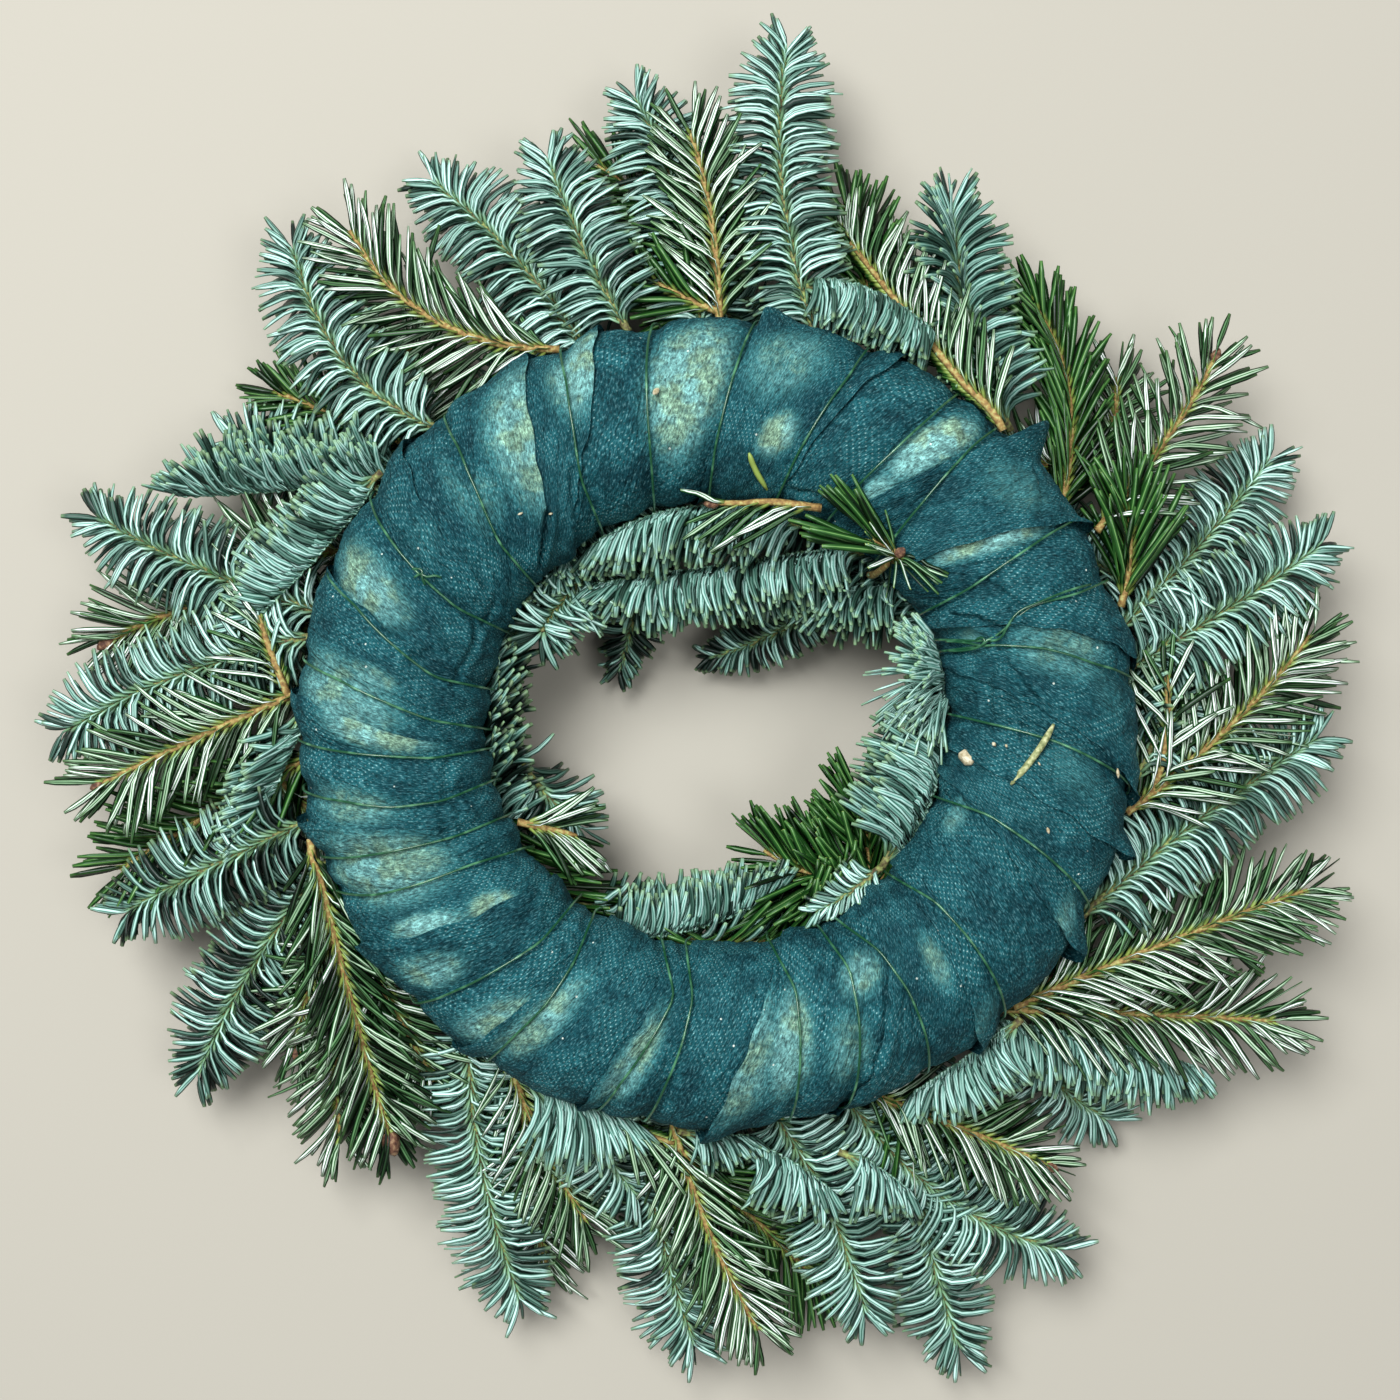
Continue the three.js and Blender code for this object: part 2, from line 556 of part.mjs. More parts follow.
/** One shoot as a closed body: a slim stem whose small faces are drawn out into needles. */
function growShoot(form, kind, draw, obstacles, owner) {
  const { stations, frames, rings } = form;
  const points = rings.flat();
  const faces = [[2, 1, 0]];
  const last = stations.length - 1;
  const needleFrom = (corners, frame, side, rise, spread, length) => {
    const root = corners[0].clone().add(corners[1]).add(corners[2]).divideScalar(3);
    const way = frame.along.clone().multiplyScalar(Math.cos(radians(spread)))
      .addScaledVector(frame.across, side * Math.sin(radians(spread)) * Math.cos(radians(rise)))
      .addScaledVector(frame.up, Math.sin(radians(spread)) * Math.sin(radians(rise)));
    const tip = root.clone().addScaledVector(way, length);
    tip.z = Math.max(tip.z, 0);
    return { root, tip, body: convexBody([...corners, tip], NEEDLE_FACES, NEEDLE_EDGES, owner) };
  };
  const isFree = (needle, outward) => {
    const lift = needle.tip.clone().sub(needle.root).dot(outward);
    if (lift < needle.tip.distanceTo(needle.root) * LEAST_LEAN) return false;
    if (!hasRoom(needle.root, needle.tip)) return false;
    return obstacles.every((other) => {
      const gap = other.owner === owner ? SAME_POINT : NEEDLE_GAP;
      if (other.form === form && other.stem) return true;
      return areClear(needle.body, other, gap);
    });
  };
  const grow = (indices, frame, side, along) => {
    const corners = indices.map((index) => points[index]);
    const outward = corners[1].clone().sub(corners[0]).cross(corners[2].clone().sub(corners[0])).normalize();
    const rise = kind.rises[Math.floor(draw() * kind.rises.length)] + RISE_STRAY * (draw() - 0.5);
    const openness = THREE.MathUtils.lerp(kind.spread, kind.tipSpread, along ** 1.6);
    const spread = openness + SPREAD_STRAY * (draw() - 0.5);
    const taper = THREE.MathUtils.lerp(END_LENGTH, 1, Math.sin(Math.PI * Math.min(1, along * 1.2 + 0.1)));
    const length = kind.length * taper * (1 + LENGTH_STRAY * (draw() - 0.5));
    for (const [riseBy, spreadBy, lengthBy] of BENDS) {
      const turn = (side === 0 ? UNDERSIDE_RISE : rise) + riseBy;
      const tilt = Math.max(LEAST_SPREAD, spread + spreadBy);
      const sideways = side === 0 ? UNDERSIDE_SIDE : side;
      const needle = needleFrom(corners, frame, sideways, turn, tilt, length * lengthBy);
      if (isFree(needle, outward)) {
        const tip = points.push(needle.tip) - 1;
        const [a, b, c] = indices;
        faces.push([a, b, tip], [b, c, tip], [c, a, tip]);
        obstacles.push({ ...needle.body, form, stem: false });
        return;
      }
    }
    faces.push(indices);
  };
  for (let i = 0; i < last; i += 1) {
    for (let k = 0; k < 3; k += 1) {
      const beside = (k + 1) % 3;
      const near = [3 * i + k, 3 * i + beside, 3 * i + 3 + beside];
      const far = [3 * i + k, 3 * i + 3 + beside, 3 * i + 3 + k];
      const side = [-1, 0, 1][k];
      const hosts = i > 0 && (side !== 0 || i % 2 === 0);
      if (!hosts) {
        faces.push(near, far);
      } else if (side < 0) {
        grow(near, frames[i], side, i / last);
        faces.push(far);
      } else {
        faces.push(near);
        grow(far, frames[i], side, i / last);
      }
    }
  }
  const bud = points.push(budTip(form)) - 1;
  const end = 3 * last;
  faces.push([end, end + 1, bud], [end + 1, end + 2, bud], [end + 2, end, bud]);
  return { points, faces };
}

/** A solid from points and faces, for joining. */
function solidOf({ points, faces }) {
  const merged = mergeVertices(closedGeometry(points, faces), SAME_POINT);
  return new wasm.Manifold(new wasm.Mesh({
    numProp: 3,
    vertProperties: merged.attributes.position.array,
    triVerts: merged.index.array,
  }));
}

/** Geometry from a joined solid. */
function geometryOf(solid) {
  const mesh = solid.getMesh();
  const geometry = new THREE.BufferGeometry();
  geometry.setAttribute('position', new THREE.BufferAttribute(new Float32Array(mesh.vertProperties), 3));
  geometry.setIndex(new THREE.BufferAttribute(new Uint32Array(mesh.triVerts), 1));
  return geometry;
}

// All stems are laid out first, so that every needle can be grown clear of every stem
const forms = Object.entries(SPRAYS).map(([name, shoots]) => {
  const all = sprayStations(shoots);
  return {
    name,
    shoots: all.map((stations, i) => {
      const frames = stemFrames(stations, shoots[i].roll);
      const rings = stations.map((p, k) => {
        const radius = THREE.MathUtils.lerp(STEM_RADIUS, STEM_TIP_RADIUS, k / (stations.length - 1));
        return stemCorners(p, frames[k], radius);
      });
      return { stations, frames, rings, kind: shoots[i].kind };
    }),
  };
});

const obstacles = prismsOf(wireRings(), 'wire');
forms.forEach(({ name, shoots }) => shoots.forEach((form) => {
  const bud = convexBody([...form.rings.at(-1), budTip(form)], NEEDLE_FACES, NEEDLE_EDGES, name);
  [...prismsOf(form.rings, name), bud].forEach((body) => obstacles.push({ ...body, form, stem: true }));
}));

const wreath = new THREE.Group();

/** Adds one named piece to the wreath. */
function addPiece(name, geometry, colour, roughness) {
  const material = new THREE.MeshStandardMaterial({ color: colour, roughness, metalness: 0 });
  const mesh = new THREE.Mesh(geometry, material);
  mesh.name = name;
  wreath.add(mesh);
}

addPiece('straw_ring', strawRing(), 0xb99d62, 0.9);
addPiece('fleece_band', fleeceBand(), 0x235c68, 0.85);
addPiece('binding_wire', bindingWire(), 0x1d6b4a, 0.35);

forms.forEach(({ name, shoots }, number) => {
  const draw = seededDraw(number + 1);
  const grown = shoots.map((form) => solidOf(growShoot(form, form.kind, draw, obstacles, name)));
  const joined = grown.reduce((whole, part) => whole.add(part));
  addPiece(name, geometryOf(joined), shoots[0].kind.colour, 0.55);
});

export default wreath;
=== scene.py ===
"""A fresh fir wreath lying face down: fir sprays wired round a straw ring that is wrapped in a fleece band.

Lengths are millimetres in the wreath's own frame until a mesh is made, and angles are degrees. A place on the
ring is given by "around", the angle round the wreath, and "over", the angle over the tube's section from its
outer side (0) across the back (90) to the hole side (180).
"""

import logging
from dataclasses import dataclass, field, fields
from enum import Enum
from functools import partial
from typing import Any, Callable, Mapping, Optional, Sequence, Union

import bpy
import numpy as np
from numpy.typing import NDArray
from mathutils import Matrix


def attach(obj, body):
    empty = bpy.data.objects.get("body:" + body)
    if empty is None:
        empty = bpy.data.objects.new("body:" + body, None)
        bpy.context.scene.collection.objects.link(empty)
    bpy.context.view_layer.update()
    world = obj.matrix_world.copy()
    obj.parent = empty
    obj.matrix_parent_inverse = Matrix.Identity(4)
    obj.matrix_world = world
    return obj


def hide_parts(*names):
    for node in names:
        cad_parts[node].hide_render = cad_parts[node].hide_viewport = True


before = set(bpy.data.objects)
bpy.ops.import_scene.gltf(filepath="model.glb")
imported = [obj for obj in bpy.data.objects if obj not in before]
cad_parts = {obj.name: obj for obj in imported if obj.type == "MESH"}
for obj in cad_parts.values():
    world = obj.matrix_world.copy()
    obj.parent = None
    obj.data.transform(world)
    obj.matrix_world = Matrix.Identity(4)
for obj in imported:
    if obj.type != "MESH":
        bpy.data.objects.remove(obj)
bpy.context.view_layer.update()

Array = NDArray[np.float64]
Numbers = Union[float, Array]
Place = Sequence[float]
Stops = Sequence[tuple[float, str]]
Inputs = Union[Mapping[str, Any], Sequence[Any]]

MM = 0.001
GOLDEN_ANGLE = 137.508

logger = logging.getLogger("wreath")


def linear(colour: str) -> tuple[float, float, float, float]:
    """Turn an sRGB hex colour into linear red, green, blue and alpha."""
    parts = np.array([int(colour[i:i + 2], 16) / 255 for i in (1, 3, 5)])
    lit = np.where(parts <= 0.04045, parts / 12.92, ((parts + 0.055) / 1.055) ** 2.4)
    return (float(lit[0]), float(lit[1]), float(lit[2]), 1.0)


def plug(node: bpy.types.Node, inputs: Inputs) -> None:
    """Give a node's inputs their values and links.

    Args:
        node: The node.
        inputs: For each input, by its name or in their order: a value, a hex colour, or a socket or node to
            link from.
    """
    used = [socket for socket in node.inputs if socket.enabled]
    for key, value in inputs.items() if isinstance(inputs, Mapping) else enumerate(inputs):
        socket = used[key] if isinstance(key, int) else next(s for s in used if s.name == key)
        if isinstance(value, bpy.types.Node):
            value = next(s for s in value.outputs if s.enabled)
        if isinstance(value, bpy.types.NodeSocket):
            node.id_data.links.new(value, socket)
        else:
            socket.default_value = linear(value) if isinstance(value, str) else value


def add_node(
    tree: bpy.types.NodeTree, kind: str, inputs: Inputs = (), stops: Stops = (), **settings: Any,
) -> bpy.types.Node:
    """Add a node with its settings and links.

    Args:
        tree: The node tree that takes the node.
        kind: The node's type, without "ShaderNode".
        inputs: Its inputs, as plug() takes them.
        stops: Places and hex colours for a colour ramp.
        settings: Properties of the node.

    Returns:
        The new node.
    """
    node = tree.nodes.new("ShaderNode" + kind)
    for name, value in settings.items():
        setattr(node, name, value)
    plug(node, inputs)
    if stops:
        ramp = node.color_ramp
        while len(ramp.elements) < len(stops):
            ramp.elements.new(1.0)
        for element, (place, colour) in zip(ramp.elements, stops):
            element.position = place
            element.color = linear(colour)
    return node


def unit(ways: Array) -> Array:
    """Vectors of length one along the given ones."""
    return ways / np.maximum(np.linalg.norm(ways, axis=-1, keepdims=True), 1e-9)


def smooth(x: Numbers) -> Array:
    """Smooth step: 3x² − 2x³ of x held between 0 and 1."""
    held = np.clip(x, 0.0, 1.0)
    return held * held * (3 - 2 * held)


def blend(low: Numbers, high: Numbers, part: Numbers) -> Array:
    """A value between two, part of the way from low to high."""
    return low + (high - low) * np.asarray(part)


def turned(angle: Numbers) -> tuple[Array, Array]:
    """The cosine and sine of an angle in degrees."""
    return np.cos(np.radians(angle)), np.sin(np.radians(angle))


def past(first: Numbers, second: Numbers) -> Array:
    """How far the first angle is past the second, from −180 to 180 degrees."""
    return (first - second + 180) % 360 - 180


def lengths(path: Array) -> Array:
    """The length along a path up to each of its places."""
    return np.concatenate([[0], np.cumsum(np.linalg.norm(np.diff(path, axis=0), axis=-1))])


def read(at: Array, known: Array, rows: Array) -> Array:
    """Rows read between the places where they are known, straight from each to the next."""
    return np.stack([np.interp(at, known, column) for column in rows.T], axis=-1)


def rounded(path: Array, weights: Sequence[int]) -> Array:
    """The places of a path averaged with their neighbours by weight, where there are enough of them."""
    shares = np.array(weights) / sum(weights)
    return np.stack([np.convolve(column, shares, mode="valid") for column in path.T], axis=-1)


@dataclass
class Surface:
    """Faces of four corners, with what the materials read from them.

    Attributes:
        points: Corner places, in millimetres.
        faces: Four point numbers for each face.
        uv: A pattern place for each corner of each face.
        finish: The number of each face's material.
        tint: How pale each point is, from 0 to 1; on needles it also carries painted shade.
        worn: How worn each point is, from 0 to 1.
    """

    points: Array
    faces: NDArray[np.int64]
    uv: Array
    finish: NDArray[np.int64]
    tint: Array
    worn: Array

    @staticmethod
    def grid(points: Array, uv: Array, finish: int = 0, worn: Numbers = 0.0, closed: bool = False) -> "Surface":
        """Faces between the rows and columns of a grid of points.

        Args:
            points: Rows, columns and three coordinates.
            uv: Pattern places, of one column more than the points where the rows close on themselves.
            finish: The material number.
            worn: One value, or a value for each point.
            closed: Whether the last column joins the first.

        Returns:
            The surface.
        """
        rows, columns = points.shape[:2]
        count = rows * columns
        numbers = np.arange(count).reshape(rows, columns)
        if closed:
            numbers = np.concatenate([numbers, numbers[:, :1]], axis=1)
        faces, places = (
            np.stack([held[:-1, :-1], held[:-1, 1:], held[1:, 1:], held[1:, :-1]], axis=2) for held in (numbers, uv)
        )
        return Surface(
            points.reshape(-1, 3), faces.reshape(-1, 4), places.reshape(-1, 4, 2),
            np.full(faces.shape[0] * faces.shape[1], finish), np.full(count, 0.5),
            np.broadcast_to(worn, (rows, columns)).reshape(count).astype(float),
        )

    @staticmethod
    def joined(parts: Sequence["Surface"]) -> "Surface":
        """Put surfaces together into one.

        Args:
            parts: The surfaces.

        Returns:
            The surface of all their faces, in order.
        """
        starts = np.cumsum([0] + [len(part.points) for part in parts[:-1]])
        rows = {item.name: [getattr(part, item.name) for part in parts] for item in fields(Surface)}
        rows["faces"] = [faces + start for faces, start in zip(rows["faces"], starts)]
        return Surface(**{name: np.concatenate(row) for name, row in rows.items()})

    def capped(self, sides: int, finish: int) -> "Surface":
        """Close both ends of a tube of an even number of sides with faces across its end rings.

        Args:
            sides: Points in each ring.
            finish: The material number of the first end.

        Returns:
            The closed tube.
        """
        half = np.arange(sides // 2 - 1)
        cap = np.stack([half, half + 1, sides - 2 - half, sides - 1 - half], axis=-1)
        last = len(self.points) - sides
        return Surface(
            self.points, np.concatenate([self.faces, cap[:, ::-1], cap + last]),
            np.concatenate([self.uv, np.full((2 * len(cap), 4, 2), 0.5)]),
            np.concatenate([self.finish, np.full(len(cap), finish), np.full(len(cap), self.finish[-1])]),
            self.tint, self.worn,
        )

    def piece(self, name: str, materials: Sequence[bpy.types.Material]) -> bpy.types.Object:
        """Make the surface an object at the origin.

        Args:
            name: The object's name.
            materials: Its materials, in the order of their numbers.

        Returns:
            The object, in metres.
        """
        mesh = bpy.data.meshes.new(name)
        count = len(self.faces)
        mesh.vertices.add(len(self.points))
        mesh.vertices.foreach_set("co", (self.points * MM).ravel())
        mesh.loops.add(4 * count)
        mesh.loops.foreach_set("vertex_index", self.faces.ravel())
        mesh.polygons.add(count)
        mesh.polygons.foreach_set("loop_start", np.arange(count) * 4)
        mesh.polygons.foreach_set("material_index", self.finish)
        mesh.update(calc_edges=True)
        mesh.polygons.foreach_set("use_smooth", np.ones(count, dtype=bool))
        mesh.uv_layers.new(name="pattern").data.foreach_set("uv", self.uv.ravel())
        for title, values in (("tint", self.tint), ("worn", self.worn)):
            mesh.attributes.new(title, "FLOAT", "POINT").data.foreach_set("value", values)
        for material in materials:
            mesh.materials.append(material)
        made = bpy.data.objects.new(name, mesh)
        bpy.context.scene.collection.objects.link(made)
        return made


def tube(path: Array, radii: Array, level: Array, finish: int, end: int, sides: int = 6) -> Surface:
    """A round tube along a path: at each station, a circle across the path's direction.

    Args:
        path: Stations along the middle.
        radii: The radius at each station.
        level: A direction across the path at each station.
        finish: The material number of the side.
        end: The material number of the first end.
        sides: Points round the tube, an even number.

    Returns:
        The closed tube.
    """
    along = unit(np.gradient(path, axis=0))
    across = unit(level - along * np.sum(level * along, axis=-1, keepdims=True))
    up = np.cross(along, across)
    turn = np.arange(sides) * 2 * np.pi / sides
    ring = np.cos(turn)[:, None] * across[:, None] + np.sin(turn)[:, None] * up[:, None]
    points = path[:, None] + radii[:, None, None] * ring
    run = lengths(path)[:, None] * MM
    uv = np.stack(np.broadcast_arrays(np.linspace(0, 1, sides + 1)[None], run), axis=-1)
    return Surface.grid(points, uv, finish, closed=True).capped(sides, end)


@dataclass(frozen=True)
class Ring:
    """The wrapped straw ring: an oval section carried once round an oval line.

    Attributes:
        centre: The middle of the ring.
        radius: Distance of the tube's axis line from it.
        squash: The ring's depth as a part of its width.
        half_width: Half the section's width.
        half_height: Half the section's height.
        wrapped: Thickness of the wrapping.
        corners: Where over the section the ten-sided shape has its corners.
    """

    centre: tuple[float, float, float] = (5.0, -7.0, 55.0)
    radius: float = 98.6
    squash: float = 0.965
    half_width: float = 26.9
    half_height: float = 22.4
    wrapped: float = 2.4
    corners: tuple[float, ...] = (-8, 24, 50, 76, 104, 130, 156, 188, 236, 304)

    def section(self, over: Numbers, lift: Numbers) -> tuple[Array, Array]:
        """A place near the tube's oval section: (a·cos, b·sin), and then a lift straight off the oval.

        Args:
            over: The angle over the section.
            lift: The distance off its surface.

        Returns:
            The distance outwards and the height from the tube's axis line.
        """
        cos, sin = turned(over)
        outward, upward = cos / self.half_width, sin / self.half_height
        size = np.hypot(outward, upward)
        return (self.half_width * cos + lift * outward / size, self.half_height * sin + lift * upward / size)

    def point(self, around: Numbers, over: Numbers, lift: Numbers) -> Array:
        """Points of the ring, at angles round it and over its section and a lift off its surface."""
        return self.placed(around, *self.section(over, lift))

    def placed(self, around: Numbers, out: Numbers, height: Numbers) -> Array:
        """Points at an angle round the ring, a distance out from its axis line and a height over it."""
        cos, sin = turned(around)
        radius = self.radius + np.asarray(out)
        return np.stack(np.broadcast_arrays(
            self.centre[0] + radius * cos, self.centre[1] + self.squash * radius * sin,
            self.centre[2] + np.asarray(height),
        ), axis=-1).astype(float)

    def flat(self, points: Array) -> tuple[Array, Array]:
        """Places across the ring from its centre, as if its line were a circle."""
        return points[..., 0] - self.centre[0], (points[..., 1] - self.centre[1]) / self.squash

    def around(self, points: Array) -> Array:
        """The angle round the ring of each point."""
        x, y = self.flat(points)
        return np.degrees(np.arctan2(y, x))

    def off(self, points: Array) -> tuple[Array, Array]:
        """How far points are off the wrapped tube, whose section is taken as a shape of ten sides.

        Args:
            points: The points.

        Returns:
            Each point's distance from the nearest side, less than 0 inside, and the way straight off it.
        """
        x, y = self.flat(points)
        radius = np.hypot(x, y)
        corners = np.stack(self.section(np.array(self.corners, dtype=float), self.wrapped), axis=-1)
        edge = np.roll(corners, -1, axis=0) - corners
        outward = unit(np.stack([edge[:, 1], -edge[:, 0]], axis=-1))
        place = np.stack([radius - self.radius, points[..., 2] - self.centre[2]], axis=-1)
        clear = np.einsum("...kc,kc->...k", place[..., None, :] - corners, outward)
        normal = outward[np.argmax(clear, axis=-1)]
        away = np.stack([
            normal[..., 0] * x / radius, normal[..., 0] * y * self.squash / radius, normal[..., 1],
        ], axis=-1)
        return np.max(clear, axis=-1), away

    def kept_off(self, points: Array, clearance: Numbers) -> Array:
        """Points moved straight off the tube until they are at least so far from it."""
        distance, away = self.off(points)
        return points + away * np.maximum(clearance - distance, 0.0)[..., None]


RING = Ring()


class Fir(Enum):
    """The two kinds of fir in the wreath."""

    NOBLE = "noble"
    NORDMANN = "nordmann"


class Flank(Enum):
    """The sides that the needles of a shoot turn to, seen from above and along the stem."""

    BOTH = 0
    LEFT = 1
    RIGHT = -1


NOBLE, NORDMANN = Fir
BOTH, LEFT, RIGHT = Flank


@dataclass(frozen=True)
class NeedleForm:
    """How the needles of one kind of fir grow.

    Attributes:
        length: Length of a full needle.
        thickness: Its thickness.
        per_mm: Needles for each millimetre of shoot.
        foot: Angle to the shoot where it leaves the shoot.
        spread: Angle to the shoot past its bend, along most of the shoot.
        tip_spread: The same at the end of the shoot.
        bend: The part of its length over which it bends.
        ending: Length of the end of the shoot over which the needles turn forwards.
        ranks: How far needles are raised, at the bare side, the flanks and the full side of the shoot.
        widths: Its outline: the part of the full width at each station.
        width: Its width.
        seat: How deep it stands in the stem, as a part of the stem's radius.
        turning: The part of its length over which it turns to its flank.
        passing: How far round the stem a needle starts that passes over it.
        end_length: Length of needles at the shoot's tip, as a part of the full one.
        low_length: The same at the shoot's foot.
        low_part: The part of the shoot over which they then reach the full one.
        length_range: The shortest and longest that chance makes a needle.
        ridge: The part of its thickness that lies over its edges.
        facing: How far its upper side faces back along the shoot.
        star_facing: The same where the shoot's end shows as a star.
        below_stem_shade: Painted shade: the tint of the needles below the stem, as a part of the others'.
        step_play: Play of its place along the shoot, in steps from needle to needle.
        round_play: Play of its place round the shoot.
        rise_play, spread_play, bend_play, twist_play: Play of its rise, spread, bend and twist.
        length_play, width_play: Play of its length and width, as a part of them.
    """

    length: float
    thickness: float
    per_mm: float
    foot: float
    spread: float
    tip_spread: float
    bend: float
    ending: float
    ranks: tuple[float, float, float]
    widths: tuple[float, ...]
    width: float = 2.0
    seat: float = 0.8
    turning: float = 0.45
    passing: float = 150.0
    end_length: float = 0.66
    low_length: float = 0.8
    low_part: float = 0.12
    length_range: tuple[float, float] = (0.78, 1.15)
    ridge: float = 0.3
    facing: float = 0.3
    star_facing: float = 3.0
    below_stem_shade: float = 0.25
    step_play: float = 0.3
    round_play: float = 12.0
    rise_play: float = 7.0
    spread_play: float = 6.0
    bend_play: float = 8.0
    twist_play: float = 20.0
    length_play: float = 0.08
    width_play: float = 0.06

    def grown(self, shoot: "Growth", draw: np.random.Generator) -> Surface:
        """All the needles of a shoot, each a tapered body with a four-pointed section.

        A needle leaves its place on the spiral round the shoot at the foot angle and turns outwards as it
        goes: its path is the running sum of directions cos(s)·along + sin(s)·sideways, where the angle s eases
        from foot to spread, and sideways turns from the needle's own place towards the flank. Where all needles
        turn to one flank, those of the other side start further round and pass over the stem.

        Args:
            shoot: The shoot's stem and frames.
            draw: The source of chance.

        Returns:
            The needles' surface.
        """
        steps = len(self.widths) - 1
        plan, reach = shoot.plan, shoot.reach
        per_mm = self.per_mm * plan.crowd
        count = int((reach - plan.bare) * per_mm)
        run = plan.bare + (np.arange(count) + draw.uniform(-self.step_play, self.step_play, count)) / per_mm
        part = np.clip(run / reach, 0, 1)
        azimuth = (np.arange(count) * GOLDEN_ANGLE + draw.uniform(-self.round_play, self.round_play, count)) % 360
        near = np.where(azimuth < 180, azimuth, 360 - azimuth)
        start = near - 90
        if plan.flank is BOTH:
            side = np.where(azimuth < 180, 1.0, -1.0)
        else:
            side = np.full(count, plan.flank.value * (1.0 if turned(plan.roll)[0] > 0 else -1.0))
            start = np.where(azimuth < 180, start, np.minimum(270 - near, self.passing))

        ending = smooth((reach - run) / self.ending)
        raised = np.interp(near, [0, 90, 180], plan.ranks or self.ranks) + draw.normal(0, self.rise_play, count)
        spread = blend(plan.tip_spread or self.tip_spread, plan.spread or self.spread, ending)
        spread = spread + draw.normal(0, self.spread_play, count)
        length = self.length * plan.length * blend(self.end_length, 1.0, ending)
        length = length * blend(self.low_length, 1.0, smooth(part / self.low_part))
        length = length * draw.normal(1.0, self.length_play, count).clip(*self.length_range)

        root, along, across, up = shoot.at(run)
        radius = shoot.radius(part)
        t = ((np.arange(steps) + 0.5) / steps)[:, None]
        bent = 1 - (1 - np.clip(t / self.bend, 0, 1)) ** 2
        cos, sin = turned(blend(self.foot, spread, bent) + draw.normal(0, self.bend_play, count) * t)
        level, lifted = turned(blend(start, raised, smooth(t / self.turning)))
        wide = (side * level)[..., None] * across + lifted[..., None] * up
        way = cos[..., None] * along + sin[..., None] * wide
        beside, above = turned(start)
        first = root + radius[:, None] * self.seat * ((side * beside)[:, None] * across + above[:, None] * up)
        path = np.concatenate([first[None], first + np.cumsum((length / steps)[:, None] * way, axis=0)])
        path, kept = shoot.cleared(path)

        top = -(side * lifted)[..., None] * across + level[..., None] * up
        top = top - (self.star_facing if plan.star else self.facing) * along
        top = np.concatenate([top[:1], top])[:, kept]
        count = path.shape[1]
        ahead = unit(np.gradient(path, axis=0))
        level = unit(np.cross(ahead, top))
        face = np.cross(level, ahead)
        twist = np.radians(draw.normal(0, self.twist_play, count))[None, :, None]
        level, face = level * np.cos(twist) + face * np.sin(twist), face * np.cos(twist) - level * np.sin(twist)
        outline = np.array(self.widths)[:, None, None]
        width = outline * self.width * draw.normal(1, self.width_play, count)[None, :, None] / 2
        depth = outline ** 0.5 * self.thickness
        points = np.stack([
            path + level * width, path + face * depth * self.ridge,
            path - level * width, path - face * depth * (1 - self.ridge),
        ], axis=2)
        # Painted shade: needles whose foot lies below the stem are tinted darker, as if the shoot shaded them
        above = smooth(0.5 + 0.55 * (first - root)[kept, 2] / (self.seat * radius[kept]))
        tint = np.clip(draw.random(count) * blend(self.below_stem_shade, 1.0, above) + plan.pale, 0, 1)
        return self.woven(points, tint)

    def woven(self, points: Array, tint: Array) -> Surface:
        """Join the stations of many needles into closed bodies.

        Args:
            points: Stations, needles, the section's points and their coordinates.
            tint: A value for each needle, with painted shade in it.

        Returns:
            The surface, its pattern running across and along each needle, and from 1 to 2 on the underside.
        """
        stations, count, corners = points.shape[:3]
        ends = np.arange(count) * stations * corners
        column = np.arange(corners)
        row = ends[:, None, None] + (np.arange(stations - 1) * corners)[None, :, None]
        here, beside = row + column, row + (column + 1) % corners
        sides = np.stack([here, here + corners, beside + corners, beside], axis=-1)
        v = np.linspace(0, 1, stations)
        low, high = v[:-1], v[1:]
        left, right = np.array([0.0, 0.5, 1.0, 0.5]), np.array([0.5, 1.0, 0.5, 0.0])
        under = np.array([0.0, 0.0, 1.0, 1.0])
        across = np.broadcast_to(np.stack([left, left, right, right], axis=-1), (stations - 1, corners, 4))
        down = np.stack([low, high, high, low], axis=-1)[:, None, :] + under[None, :, None]
        uv = np.broadcast_to(np.stack([across, down], axis=-1), (count, stations - 1, corners, 4, 2))
        start = ends[:, None] + column
        stop = ends[:, None] + corners * (stations - 1) + column[::-1]
        faces = np.concatenate([sides.reshape(-1, 4), start, stop])
        caps = np.repeat(np.array([[[0.5, 0.0]] * 4, [[0.5, 1.0]] * 4]), count, axis=0)
        each = stations * corners
        return Surface(
            points.transpose(1, 0, 2, 3).reshape(-1, 3), faces, np.concatenate([uv.reshape(-1, 4, 2), caps]),
            np.zeros(len(faces), dtype=np.int64), np.repeat(tint, each), np.zeros(count * each),
        )


# The clear space in the middle of the hole, as the lowest and highest corners of three boxes
CLEAR_HOLE = np.array([
    [[-30, -54, -5], [10, -4, 95]], [[10, -16, -5], [48, 4, 95]], [[-46, -24, -5], [-30, -2, 95]],
], dtype=float)


